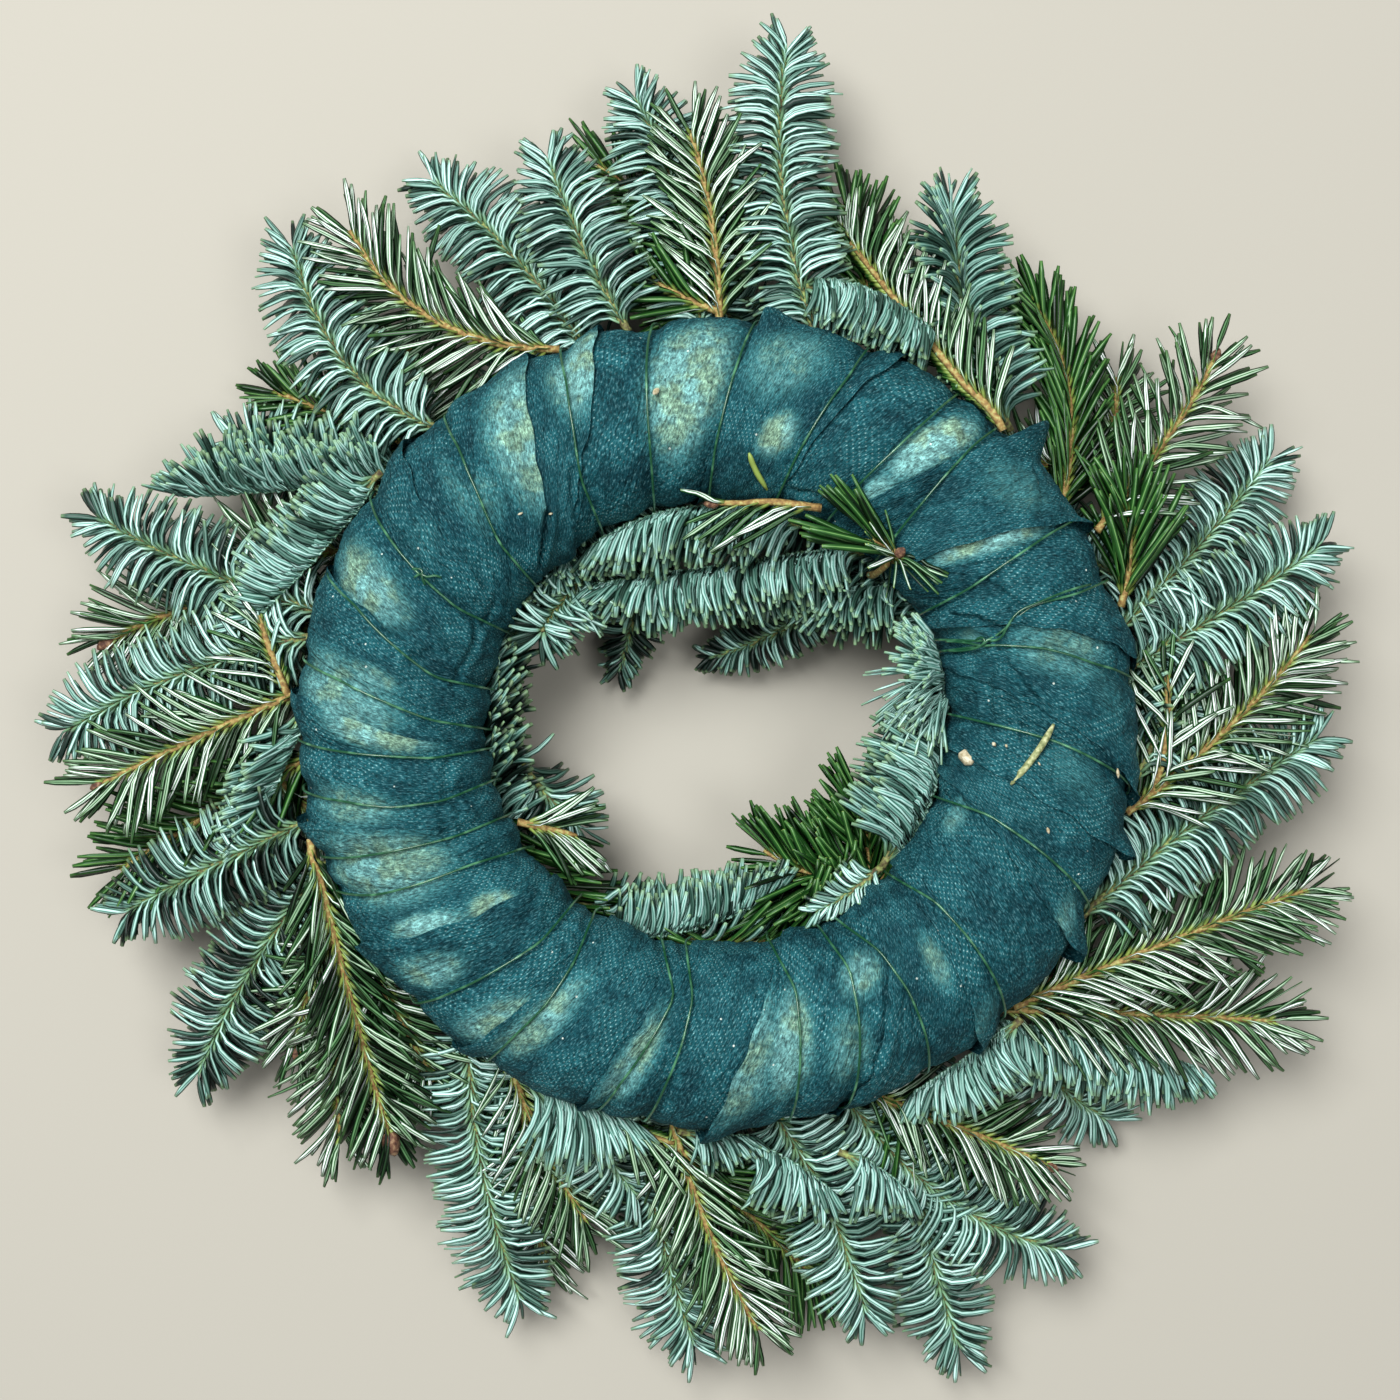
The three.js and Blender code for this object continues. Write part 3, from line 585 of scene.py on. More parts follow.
@dataclass(frozen=True)
class Shoot:
    """One shoot of a spray: a curve from its foot past a bend to its tip, and its roll about its own stem.

    Attributes:
        roll: Turn of its full side about the stem, from straight up.
        start: Its foot; none where it leaves the first shoot of its spray.
        via: The point that its curve bends towards.
        to: Its tip.
        at: Where it leaves the first shoot, as a part of that shoot's length.
        turn: How far round the ring it sweeps, where it crosses the front of the ring.
        radius: The radius it then ends at.
        height: The height it then keeps.
        ranks: How far its needles are raised, where they don't lie as its kind usually has them.
        flank: The sides that its needles turn to.
        spread: Angle of its needles to it, where it isn't as its kind usually has it.
        tip_spread: The same at its end.
        star: Whether its needles turn their undersides to its tip, so that its end shows as a pale star.
        length: Length of its needles, as a part of its kind's.
        crowd: How densely they stand, as a part of its kind's.
        pale: How much paler their tint is than is usual; below 0 it darkens them, which for shoots deep in the hole is
            painted shade.
        over: Whether its needles may lie over the band.
        bare: Length of its foot without needles.
        cut: Whether its foot shows as a cut end.
        bud: Size of the bud at its tip, as a part of the usual one; 0 where there is none.
    """

    roll: float
    start: Optional[Place] = None
    via: Place = ()
    to: Place = ()
    at: float = 0.2
    turn: float = 0.0
    radius: float = 0.0
    height: float = 0.0
    ranks: Optional[tuple[float, float, float]] = None
    flank: Flank = BOTH
    spread: Optional[float] = None
    tip_spread: Optional[float] = None
    star: bool = False
    length: float = 1.0
    crowd: float = 1.0
    pale: float = 0.0
    over: bool = False
    bare: float = 3.0
    cut: bool = False
    bud: float = 0.0


def fork(roll: float, at: float, via: Place, to: Place, **more: Any) -> Shoot:
    """A side shoot that leaves the first shoot of its spray at a part of that shoot's length."""
    return Shoot(roll, None, via, to, at, **more)


def sweep(turn: float, radius: float, height: float) -> Shoot:
    """A side shoot that sweeps across the front of the ring, from low on the first shoot."""
    return Shoot(180, turn=turn, radius=radius, height=height)


def lining(first: float, last: float, radius: float = 75.0, height: float = 35.0, pale: float = 0.0) -> Shoot:
    """A shoot that lies low along the hole's side of the ring, between two angles round it.

    Args:
        first: The angle at its foot.
        last: The angle at its tip.
        radius: How far it lies from the ring's middle.
        height: How high it lies.
        pale: How much paler its needles are than is usual; below 0 it is painted shade.

    Returns:
        The shoot, bent at the point where the lines straight on from its two ends meet.
    """
    out, up = radius - RING.radius, height - RING.centre[2]
    bend = radius / turned((last - first) / 2)[0] - RING.radius
    start, via, to = (
        tuple(RING.placed(around, away, up)) for around, away in ((first, out), ((first + last) / 2, bend), (last, out))
    )
    return Shoot(0, start, via, to, crowd=0.7, pale=pale)


@dataclass
class Growth:
    """A shoot laid out: a fine walk along its stem, with the directions of its frame at each step.

    Attributes:
        path: The walk along its stem.
        plan: The shoot.
        root_radius: The stem's radius at its foot.
        tip_radius: The same at its tip.
        overlap: How far needles may reach over the band's edge.
        floor_gap: Their least height over the floor.
        ring_gap: Their least distance off the ring.
        buried: How deep in the ring a needle is left out.
        hole_margin: How far into the hole's clear space a needle may reach.
    """

    path: Array
    plan: Shoot
    root_radius: float = 1.3
    tip_radius: float = 0.8
    overlap: float = 4.0
    floor_gap: float = 1.2
    ring_gap: float = 0.5
    buried: float = 5.0
    hole_margin: float = 2.0
    run: Array = field(init=False)
    along: Array = field(init=False)
    across: Array = field(init=False)
    up: Array = field(init=False)

    def __post_init__(self) -> None:
        """Work out the frames: level is across the stem and flat, and both turn about the stem by the roll."""
        self.run = lengths(self.path)
        self.along = unit(np.gradient(self.path, axis=0))
        level = unit(np.cross(np.array([0.0, 0.0, 1.0]), self.along))
        raised = np.cross(self.along, level)
        cos, sin = turned(self.plan.roll)
        self.across = level * cos + raised * sin
        self.up = raised * cos - level * sin

    @property
    def reach(self) -> float:
        """The shoot's length."""
        return float(self.run[-1])

    def at(self, run: Array) -> tuple[Array, Array, Array, Array]:
        """The place, and the directions along, across and up, at lengths along the stem."""
        place, *ways = (read(run, self.run, row) for row in (self.path, self.along, self.across, self.up))
        return (place, *[unit(way) for way in ways])

    def radius(self, part: Numbers) -> Array:
        """The stem's radius at a part of its length."""
        return blend(self.root_radius, self.tip_radius, part)

    def cleared(self, path: Array) -> tuple[Array, NDArray[np.bool_]]:
        """Bend needles off the wrapped ring and the surface below, and leave out those with no room.

        Args:
            path: Stations, needles and three coordinates.

        Returns:
            The kept needles' stations, and which needles are kept.
        """
        distance, away = RING.off(path)
        deep = distance[1:].min(axis=0) < -self.buried
        inside = np.zeros_like(deep)
        for low, high in CLEAR_HOLE:
            inside |= np.all((path > low + self.hole_margin) & (path < high - self.hole_margin), axis=-1).any(axis=0)
        lap = np.hypot(*RING.flat(path)) - RING.radius
        covering = ((np.abs(lap) < RING.half_width - self.overlap) & (path[..., 2] > RING.centre[2]))[2:].any(axis=0)
        kept = ~(deep | inside | (covering & (not self.plan.over)))
        moved = path + away * np.maximum(self.ring_gap - distance, 0.0)[..., None]
        moved[..., 2] = np.maximum(moved[..., 2], self.floor_gap)
        return moved[:, kept], kept


NEEDLES = {
    NOBLE: NeedleForm(
        length=19.0, thickness=0.8, per_mm=3.0, foot=18, spread=92, tip_spread=36, bend=0.85, ending=24.0,
        ranks=(-4, 18, 62), widths=(0.6, 0.85, 1.0, 1.0, 0.95, 0.6),
    ),
    NORDMANN: NeedleForm(
        length=25.0, thickness=0.55, per_mm=1.6, foot=30, spread=48, tip_spread=20, bend=0.5, ending=22.0,
        ranks=(-2, 14, 44), widths=(0.6, 0.8, 1.0, 1.0, 0.94, 0.5),
    ),
}

# A bud's outline: how far each station is past the shoot's tip, and its radius
BUD = ((-0.5, 0.9), (0.3, 1.45), (1.0, 1.7), (1.6, 1.5), (2.2, 1.55), (2.9, 1.1), (3.5, 0.8), (4.0, 0.2))


@dataclass(frozen=True)
class Spray:
    """A forked spray of fir, in one piece with its needles, twigs, buds and cut ends.

    Attributes:
        kind: Its kind of fir.
        shoots: Its shoots, the first from its seat on the band.
        number: Its number in the wreath, which also starts its draws.
        least_steps: The least number of steps of a walk along a stem.
        step: The length of such a step.
        samples: Places that a stem's curve is measured at.
        seat: How far the foot of the first shoot lies off the ring.
        over_wire: How far a stem lies off the ring where it is bound.
        below: The same further down.
        bound_height: The height from which stems are bound.
        sweep_bend: The radius that a sweeping shoot bends towards.
        finer: Fine steps in each step, for the rounded stem.
        swelling: How much the stem's radius swells and shrinks.
        swell_rate: Its rate along the stem.
        last_part: The part of the stem after which it thins out.
        last_radius: Its radius there, as a part of the usual one.
    """

    kind: Fir
    shoots: Sequence[Shoot]
    number: int
    least_steps: int = 4
    step: float = 4.4
    samples: int = 201
    seat: float = 1.85
    over_wire: float = 3.15
    below: float = 2.1
    bound_height: float = 42.0
    sweep_bend: float = 120.0
    finer: int = 4
    swelling: float = 0.05
    swell_rate: float = 1.9
    last_part: float = 0.97
    last_radius: float = 0.7

    def stations(self, start: Place, via: Place, to: Place) -> Array:
        """An even walk along a curve, kept off the ring: the curve is (1−t)²·start + 2t(1−t)·via + t²·to.

        Args:
            start: Where the curve starts.
            via: The point that it bends towards.
            to: Where it ends.

        Returns:
            The places of the walk.
        """
        start, via, to = (np.array(place, dtype=float) for place in (start, via, to))
        t = np.linspace(0, 1, self.samples)[:, None]
        curve = (1 - t) ** 2 * start + 2 * t * (1 - t) * via + t ** 2 * to
        run = lengths(curve)
        count = max(self.least_steps, int(np.floor(run[-1] / self.step + 0.5)))
        places = read(np.linspace(0, run[-1], count + 1), run, curve)
        clearance = np.where(places[:, 2] > self.bound_height, self.over_wire, self.below)
        clearance[0] = -np.inf
        return RING.kept_off(places, clearance)

    def laid_out(self) -> list[Growth]:
        """Lay out the shoots: the first from its seat on the band, the others from the first.

        Returns:
            The shoots in their order.
        """
        main = self.shoots[0]
        foot = np.array(main.start, dtype=float)
        distance, away = RING.off(foot)
        first = self.stations(foot + away * (self.seat - distance), main.via, main.to)
        walks = [first]
        for side in self.shoots[1:]:
            start, via, to = side.start, side.via, side.to
            if start is None:
                start = first[int(np.floor(side.at * (len(first) - 1) + 0.5))]
            if side.turn:
                around, height = RING.around(start), side.height - RING.centre[2]
                via = RING.placed(around + side.turn / 2, self.sweep_bend - RING.radius, height)
                to = RING.placed(around + side.turn, side.radius - RING.radius, height)
            walks.append(self.stations(start, via, to))
        return [Growth(self.softened(walk), one) for walk, one in zip(walks, self.shoots)]

    def softened(self, walk: Array) -> Array:
        """A finer walk whose corners are rounded by averaging each place with its neighbours.

        Args:
            walk: The places of a walk.

        Returns:
            The finer places, from the same first place to the same last one.
        """
        count = len(walk)
        path = read(np.linspace(0, count - 1, self.finer * (count - 1) + 1), np.arange(count), walk)
        before = path[0] + (path[0] - path[1]) * np.arange(3, 0, -1)[:, None]
        after = path[-1] + (path[-1] - path[-2]) * np.arange(1, 4)[:, None]
        return rounded(np.concatenate([before, path, after]), (1, 2, 3, 4, 3, 2, 1))

    def twig(self, growth: Growth) -> Surface:
        """The shoot's own stem: a round tube whose radius swells and shrinks by a sine of its length.

        Args:
            growth: The shoot laid out.

        Returns:
            The stem's surface, closed at both ends.
        """
        run = growth.run[::2]
        part = run / growth.reach
        swollen = 1 + self.swelling * np.sin(run * self.swell_rate)
        radii = growth.radius(part) * swollen * np.where(part > self.last_part, self.last_radius, 1)
        return tube(growth.path[::2], radii, growth.across[::2], 1, 3 if growth.plan.cut else 1)

    def bud(self, growth: Growth) -> Surface:
        """A pointed bud of overlapping scales at the shoot's tip: radii that swell and then close."""
        ahead, radii = growth.plan.bud * np.array(BUD).T
        path = growth.path[-1] + ahead[:, None] * growth.along[-1]
        return tube(path, radii, np.broadcast_to(growth.across[-1], path.shape), 2, 2)

    def build(self, materials: Mapping[str, bpy.types.Material]) -> bpy.types.Object:
        """Build the spray and dress it.

        Args:
            materials: The materials, by their names in FINISHES.

        Returns:
            The spray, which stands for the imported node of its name.
        """
        draw = np.random.default_rng(self.number)
        parts = []
        for growth in self.laid_out():
            parts += [NEEDLES[self.kind].grown(growth, draw), self.twig(growth)]
            if growth.plan.bud:
                parts.append(self.bud(growth))
        kind = self.kind.value
        name = f"{kind}_spray_{self.number:02d}"
        dress = [materials[part] for part in (kind, f"{kind}_bark", "bud", "cut")]
        made = Surface.joined(parts).piece(f"{name}_needles", dress)
        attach(made, "root")
        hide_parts(name)
        return made


# How far the needles of a shoot are raised, where they are combed over and where they also arch over the stem
COMBED = (0, 28, 66)
ARCHED = (-16, 4, 26)

# The sprays, each with its kind and its shoots, clockwise from the upper left
SPRAYS: tuple[tuple[Fir, tuple[Shoot, ...]], ...] = (
    # Round the outside
    (NOBLE, (Shoot(180, (-84, 88, 42), (-116, 96, 41), (-128, 142, 34)),)),
    (NORDMANN, (Shoot(180, (-45, 112, 46), (-88, 108, 46), (-109, 146, 42)),)),
    (NOBLE, (Shoot(180, (-36, 114, 36), (-55, 140, 34), (-84, 164, 28)), sweep(36, 94, 12))),
    (NOBLE, (Shoot(180, (-23, 118, 45), (-38, 140, 44), (-47, 168, 40)),)),
    (NOBLE, (Shoot(180, (0, 122, 34), (-4, 160, 32), (-20, 190, 30)), sweep(-34, 86, 20))),
    (NORDMANN, (
        Shoot(180, (6, 117, 46), (6, 148, 46), (-3, 177, 42)), fork(0, 0.3, (-8, 156, 20), (-33, 173, 16)),
        fork(0, 0.08, (-4, 124, 44), (-15, 131, 40)),
    )),
    (NOBLE, (
        Shoot(180, (37, 118, 44), (20, 160, 43), (27, 203, 38)),
        Shoot(
            0, (33, 127, 50), (51, 126, 58), (68, 112, 60), flank=RIGHT, ranks=ARCHED, spread=86, tip_spread=70,
            crowd=1.3, bare=0.0,
        ),
    )),
    (NORDMANN, (
        Shoot(180, (93, 83, 72), (66, 112, 60), (44, 149, 32), flank=RIGHT, crowd=1.2, cut=True),
        Shoot(0, (54, 122, 34), (52, 140, 30), (46, 158, 26), length=0.9),
        Shoot(180, (82, 100, 34), (74, 118, 34), (64, 132, 32), length=0.9),
    )),
    (NOBLE, (Shoot(25, (99, 86, 50), (80, 112, 48), (78, 154, 42)),)),
    (NORDMANN, (
        Shoot(0, (122, 62, 34), (125, 100, 32), (104, 128, 28), spread=28, length=0.9, crowd=1.3),
        fork(180, 0.12, (136, 80, 22), (134, 104, 18)), sweep(34, 88, 10),
    )),
    (NORDMANN, (Shoot(180, (130, 56, 46), (150, 86, 46), (160, 106, 42), crowd=0.8, bud=1.0),)),
    (NORDMANN, (Shoot(0, (134, 30, 50), (134, 46, 52), (130, 60, 53), spread=26, length=1.1, crowd=1.3),)),
    (NOBLE, (Shoot(180, (146, 25, 34), (160, 50, 31), (181, 76, 26)), sweep(38, 96, 14))),
    (NOBLE, (Shoot(180, (138, 10, 42), (172, 32, 42), (193, 48, 38)),)),
    (NOBLE, (
        Shoot(180, (136, -27, 48), (142, -10, 46), (152, 4, 38), flank=RIGHT, ranks=(0, 20, 60), crowd=1.2),
        fork(0, 0.1, (134, -14, 38), (135, 14, 40), crowd=1.2),
    )),
    (NORDMANN, (
        Shoot(180, (137, -36, 46), (168, -8, 46), (190, 20, 41)),
        fork(180, 0.1, (146, -16, 50), (143, 8, 51), crowd=0.5, length=0.9),
    )),
    (NOBLE, (Shoot(180, (121, -70, 45), (150, -38, 44), (192, -12, 40)),)),
    (NORDMANN, (Shoot(180, (134, -54, 30), (152, -40, 26), (172, -20, 20)), sweep(34, 84, 20))),
    (NORDMANN, (Shoot(150, (98, -96, 48), (150, -72, 46), (189, -59, 42)),)),
    (NORDMANN, (Shoot(180, (99, -104, 37), (140, -98, 37), (181, -101, 35)), sweep(40, 100, 12))),
    (NOBLE, (
        Shoot(0, (92, -109, 34), (125, -108, 32), (156, -117, 27), flank=RIGHT, ranks=ARCHED, spread=86),
        fork(180, 0.25, (115, -128, 16), (132, -136, 12)),
    )),
    (NOBLE, (
        Shoot(0, (106, -105, 46), (90, -107, 50), (68, -121, 47), flank=LEFT, ranks=ARCHED, spread=84, pale=0.25),
    )),
    (NORDMANN, (
        Shoot(150, (52, -128, 40), (85, -134, 41), (109, -146, 37), length=0.9, bud=1.0),
        fork(0, 0.15, (70, -146, 24), (84, -158, 16)),
    )),
    (NOBLE, (
        Shoot(180, (48, -136, 28), (72, -164, 28), (114, -175, 26)), fork(180, 0.42, (74, -182, 22), (83, -208, 20)),
        sweep(34, 86, 20), Shoot(0, (43, -140, 44), (53, -144, 46), (62, -151, 44), flank=RIGHT, ranks=ARCHED),
    )),
    (NOBLE, (
        Shoot(180, (22, -132, 36), (44, -160, 36), (52, -193, 32)),
        Shoot(0, (13, -137, 46), (26, -142, 48), (38, -151, 45), flank=RIGHT, ranks=ARCHED),
        Shoot(0, (-7, -133, 48), (4, -135, 49), (14, -135, 48), flank=RIGHT, ranks=ARCHED, length=0.8),
    )),
    (NORDMANN, (
        Shoot(180, (-9, -128, 46), (-2, -160, 46), (18, -196, 42), spread=40, length=0.92),
        fork(0, 0.2, (20, -168, 22), (40, -190, 14)),
        Shoot(180, (-26, -131, 47), (-18, -134, 48), (-8, -137, 47), flank=RIGHT, bare=1.0),
    )),
    (NOBLE, (Shoot(180, (-23, -130, 28), (-14, -174, 26), (-2, -205, 24)), sweep(38, 96, 12))),
    (NOBLE, (
        Shoot(
            0, (-57, -121, 45), (-42, -126, 47), (-24, -130, 47), flank=RIGHT, ranks=ARCHED, spread=80, length=1.25,
            pale=0.25,
        ),
        fork(180, 0.5, (-30, -142, 38), (-20, -156, 34)),
    )),
    (NORDMANN, (
        Shoot(180, (-69, -115, 32), (-52, -140, 31), (-36, -166, 27)), fork(180, 0.3, (-56, -160, 18), (-50, -184, 12)),
        sweep(34, 84, 20),
    )),
    (NOBLE, (Shoot(180, (-83, -110, 28), (-74, -150, 25), (-58, -192, 20)), sweep(36, 98, 10))),
    (NORDMANN, (
        Shoot(
            165, (-121, -43, 62), (-108, -88, 56), (-97, -136, 40), spread=38, crowd=1.2, pale=-0.25, cut=True, bud=1.8,
        ),
        fork(180, 0.3, (-124, -86, 36), (-127, -110, 32), spread=38, bud=1.2),
        fork(180, 0.45, (-116, -112, 34), (-114, -140, 28), spread=40),
        Shoot(180, (-103, -80, 46), (-94, -98, 42), (-84, -120, 34)),
    )),
    (NOBLE, (Shoot(180, (-130, -54, 33), (-146, -86, 32), (-159, -118, 26), pale=-0.2), sweep(36, 88, 20))),
    (NOBLE, (Shoot(180, (-132, -40, 41), (-158, -54, 41), (-179, -66, 37), pale=-0.2),)),
    (NORDMANN, (Shoot(0, (-133, -17, 33), (-158, -37, 32), (-184, -54, 28)), sweep(38, 98, 12))),
    (NORDMANN, (
        Shoot(180, (-127, 3, 46), (-148, -8, 47), (-186, -26, 43), bud=1.0),
        fork(180, 0.08, (-132, 14, 50), (-136, 26, 49), flank=LEFT, spread=66),
    )),
    (NOBLE, (Shoot(0, (-127, -2, 44), (-131, -22, 44), (-142, -44, 41), flank=RIGHT, ranks=COMBED, spread=62),)),
    (NOBLE, (Shoot(180, (-128, 22, 40), (-160, 12, 41), (-198, -9, 36)),)),
    (NORDMANN, (Shoot(150, (-128, 36, 28), (-158, 37, 26), (-188, 19, 24), bud=1.4), sweep(36, 84, 20))),
    (NOBLE, (Shoot(180, (-128, 30, 35), (-160, 40, 38), (-188, 57, 36)),)),
    (NOBLE, (
        Shoot(0, (-98, 80, 34), (-130, 68, 33), (-162, 66, 28), flank=RIGHT, ranks=COMBED, length=1.15),
        fork(180, 0.3, (-128, 78, 22), (-150, 84, 18)), sweep(36, 100, 12),
    )),
    (NORDMANN, (Shoot(180, (-120, 52, 30), (-138, 50, 28), (-154, 46, 26)),)),
    (NOBLE, (Shoot(0, (-99, 71, 50), (-117, 46, 50), (-138, 26, 46), flank=RIGHT, ranks=ARCHED, spread=90),)),
    (NORDMANN, (
        Shoot(0, (-92, 84, 28), (-118, 92, 22), (-138, 100, 16), length=0.8),
        fork(180, 0.1, (-88, 100, 24), (-94, 114, 20)), sweep(34, 84, 20),
    )),
    # In the hole
    (NOBLE, (Shoot(0, (36, 58, 52), (-2, 66, 56), (-32, 50, 52), flank=LEFT, ranks=ARCHED, spread=76, over=True),)),
    (NOBLE, (
        Shoot(0, (50, 44, 42), (4, 39, 44), (-31, 35, 44), flank=LEFT, ranks=(-12, 8, 40), crowd=1.2),
        fork(180, 0.1, (32, 42, 26), (12, 37, 24), flank=LEFT, crowd=1.2), lining(92, 46),
    )),
    (NORDMANN, (
        Shoot(180, (36, 57, 70), (24, 62, 68), (5, 60, 64), crowd=0.5, over=True, cut=True, bud=1.0),
        Shoot(
            0, (53, 39, 40), (53, 37.5, 64), (58.6, 43.0, 74), spread=72, tip_spread=72, star=True, ranks=(-75, 0, 75),
            crowd=3.2, over=True, bare=31.0, bud=1.0,
        ),
        Shoot(
            0, (58, 43.4, 73), (55, 45.2, 74), (51, 47.6, 75), spread=46, tip_spread=12, length=1.45, crowd=1.5,
            over=True, bare=0.0,
        ),
    )),
    (NOBLE, (
        # Painted shade: this shoot hangs deep in the hole's shade, so its needles are tinted darker
        Shoot(180, (-10, 60, 30), (-20, 30, 18), (-26, 10, 14), length=0.65, pale=-0.35),
        fork(180, 0.05, (-46, 30, 36), (-48, 21, 56), length=0.9, tip_spread=80, star=True, ranks=(-30, 10, 60)),
        fork(0, 0.02, (-32, 52, 40), (-50, 36, 44), flank=LEFT, ranks=COMBED, length=0.8), lining(98, 142),
    )),
    # Painted shade: this low shoot lies in the hole's shade, so its needles are tinted darker
    (NOBLE, (Shoot(180, (52, 40, 28), (34, 22, 18), (4, 14, 14), length=0.62, pale=-0.35),)),
    (NOBLE, (Shoot(0, (72, 34, 40), (58, 36, 40), (36, 32, 36), flank=LEFT, ranks=COMBED, length=1.1), lining(22, 56))),
    (NOBLE, (
        # Painted shade: these shoots lie on the hole's shaded side, so their needles are tinted darker
        Shoot(0, (-60, -30, 38), (-70, 0, 42), (-60, 32, 40), flank=RIGHT, ranks=COMBED, spread=58, pale=-0.3),
        Shoot(180, (-60, -14, 30), (-54, -26, 34), (-38, -40, 32)), lining(214, 160, pale=-0.3),
    )),
    (NORDMANN, (Shoot(180, (-57, -38, 50), (-49, -39, 49), (-38, -42, 46), crowd=1.5), lining(200, 238))),
    (NOBLE, (
        Shoot(0, (-36, -77, 42), (-6, -74, 44), (22, -60, 42), flank=LEFT, ranks=ARCHED, spread=76, crowd=1.2),
        lining(232, 282, radius=72),
    )),
    (NORDMANN, (
        Shoot(0, (14, -83, 38), (30, -78, 38), (43, -62, 48), spread=34, crowd=1.5),
        fork(0, 0.06, (-6, -83, 36), (-26, -82, 36)), lining(262, 300, radius=73, height=38),
    )),
    (NORDMANN, (
        Shoot(0, (59, -57, 34), (48, -54, 34), (36, -46, 32), crowd=1.4),
        fork(0, 0.25, (53, -48, 34), (50, -30, 34), crowd=1.4), fork(0, 0.1, (40, -60, 42), (20, -47, 38), crowd=1.5),
        lining(290, 326, radius=73, height=38),
    )),
    (NOBLE, (
        Shoot(
            0, (57, -52, 54), (73, -34, 56), (75, -6, 54), flank=LEFT, ranks=ARCHED, spread=90, length=1.3, crowd=1.3,
        ),
        fork(180, 0.02, (48, -58, 60), (35, -64, 58), length=0.5), lining(318, 358),
    )),
    (NOBLE, (
        Shoot(
            0, (80, -6, 48), (82, 4, 57), (75, 17, 63), flank=LEFT, ranks=COMBED, spread=94, length=1.3, crowd=1.8,
            pale=0.5,
        ),
        lining(352, 384),
    )),
)

# Where each turn of the wire lies round the ring, at 30, 60, 90, 120 and 150 over the section
WIRE_OVER = (30.0, 60.0, 90.0, 120.0, 150.0)
WIRE_TURNS = (
    (7.0, 9.3, 13.5, 16.6, 18.0), (20.7, 20.5, 21.3, 17.4, 20.6), (30.5, 30.6, 30.0, 29.0, 29.0),
    (47.6, 48.4, 48.4, 47.9, 47.0), (55.0, 56.1, 57.9, 60.2, 61.8), (68.9, 69.9, 72.1, 74.1, 75.3),
    (85.0, 86.5, 88.4, 90.4, 91.5), (99.2, 100.6, 102.0, 103.4, 104.9), (112.2, 113.1, 115.3, 118.3, 119.3),
    (131.0, 132.2, 135.2, 139.4, 141.0), (146.7, 149.4, 152.5, 155.3, 155.6), (159.1, 161.2, 165.7, 170.4, 170.9),
    (171.4, 173.0, 175.9, 179.3, 180.8), (182.8, 184.2, 185.7, 187.2, 186.8), (190.2, 192.1, 195.0, 196.3, 195.3),
    (199.7, 201.1, 202.6, 204.1, 204.4), (205.2, 207.6, 209.3, 210.7, 213.0), (224.5, 226.5, 229.2, 232.1, 232.4),
    (237.0, 237.9, 239.6, 240.0, 238.7), (254.0, 255.6, 258.5, 261.5, 257.9), (260.6, 262.0, 263.9, 265.2, 263.2),
    (280.5, 282.3, 284.4, 286.0, 284.0), (289.0, 291.8, 295.0, 297.6, 296.3), (301.0, 303.0, 304.7, 304.7, 301.5),
    (314.3, 316.5, 318.6, 319.9, 318.3), (333.7, 336.0, 338.5, 340.9, 340.8), (351.8, 354.2, 357.1, 359.4, 361.5),
)

# From one of those places to the next, and how much of its slope a line over the section keeps past them
WIRE_STEP = 30.0
PAST_LEAN = 0.6

# Loose strands of the wire at its knots, each as places (around, over)
WIRE_STRANDS = (
    ((21.0, 40.0), (21.6, 69.0), (21.3, 86.0), (21.4, 98.0), (19.2, 107.0), (16.9, 113.0), (17.6, 121.0)),
    ((17.6, 118.0), (18.0, 121.0), (16.6, 125.0), (18.2, 131.0), (20.0, 146.0), (20.4, 153.0)),
    ((18.2, 156.0), (17.1, 141.0), (16.6, 128.0), (17.6, 121.0), (19.0, 124.0), (18.4, 129.0)),
    ((153.6, 88.0), (152.0, 91.0), (152.6, 95.0), (151.3, 98.0), (151.2, 103.0)),
    ((153.9, 97.0), (152.8, 92.0), (151.2, 91.0), (152.4, 84.0)),
)


def along_turn(values: Place, over: Numbers) -> Array:
    """A value at a place over the section: straight between the wire's five places, and on past them.

    Args:
        values: The value at each of the five places.
        over: The place over the section.

    Returns:
        The value there.
    """
    held = np.asarray(over, dtype=float)
    inside = np.interp(held, WIRE_OVER, values)
    before = values[0] + (values[1] - values[0]) * (held - WIRE_OVER[0]) / WIRE_STEP * PAST_LEAN
    after = values[-1] + (values[-1] - values[-2]) * (held - WIRE_OVER[-1]) / WIRE_STEP * PAST_LEAN
    return np.where(held < WIRE_OVER[0], before, np.where(held > WIRE_OVER[-1], after, inside))


class Lap(Enum):
    """Which of two neighbouring turns of the band lies on top."""

    EARLIER = "earlier"
    LATER = "later"


@dataclass(frozen=True)
class Edge:
    """A free edge of the band.

    Attributes:
        around: Where it lies round the ring at the wire's five places.
        lap: Which of its two turns is on top.
        flare: How far it stands out at the ring's outer side.
    """

    around: tuple[float, ...]
    lap: Lap = Lap.LATER
    flare: float = 0.8


@dataclass(frozen=True)
class Crease:
    """A crease in the band, as its ends and a middle point (around, over), its depth and its half width."""

    line: tuple[tuple[float, float], ...]
    depth: float
    half_width: float = 0.9


@dataclass(frozen=True)
class WornPatch:
    """A worn patch of the band: its middle, its half sizes round and over, how worn it is, and its lean."""

    around: float
    over: float
    half_around: float
    half_over: float
    strength: float
    lean: float = 0.075


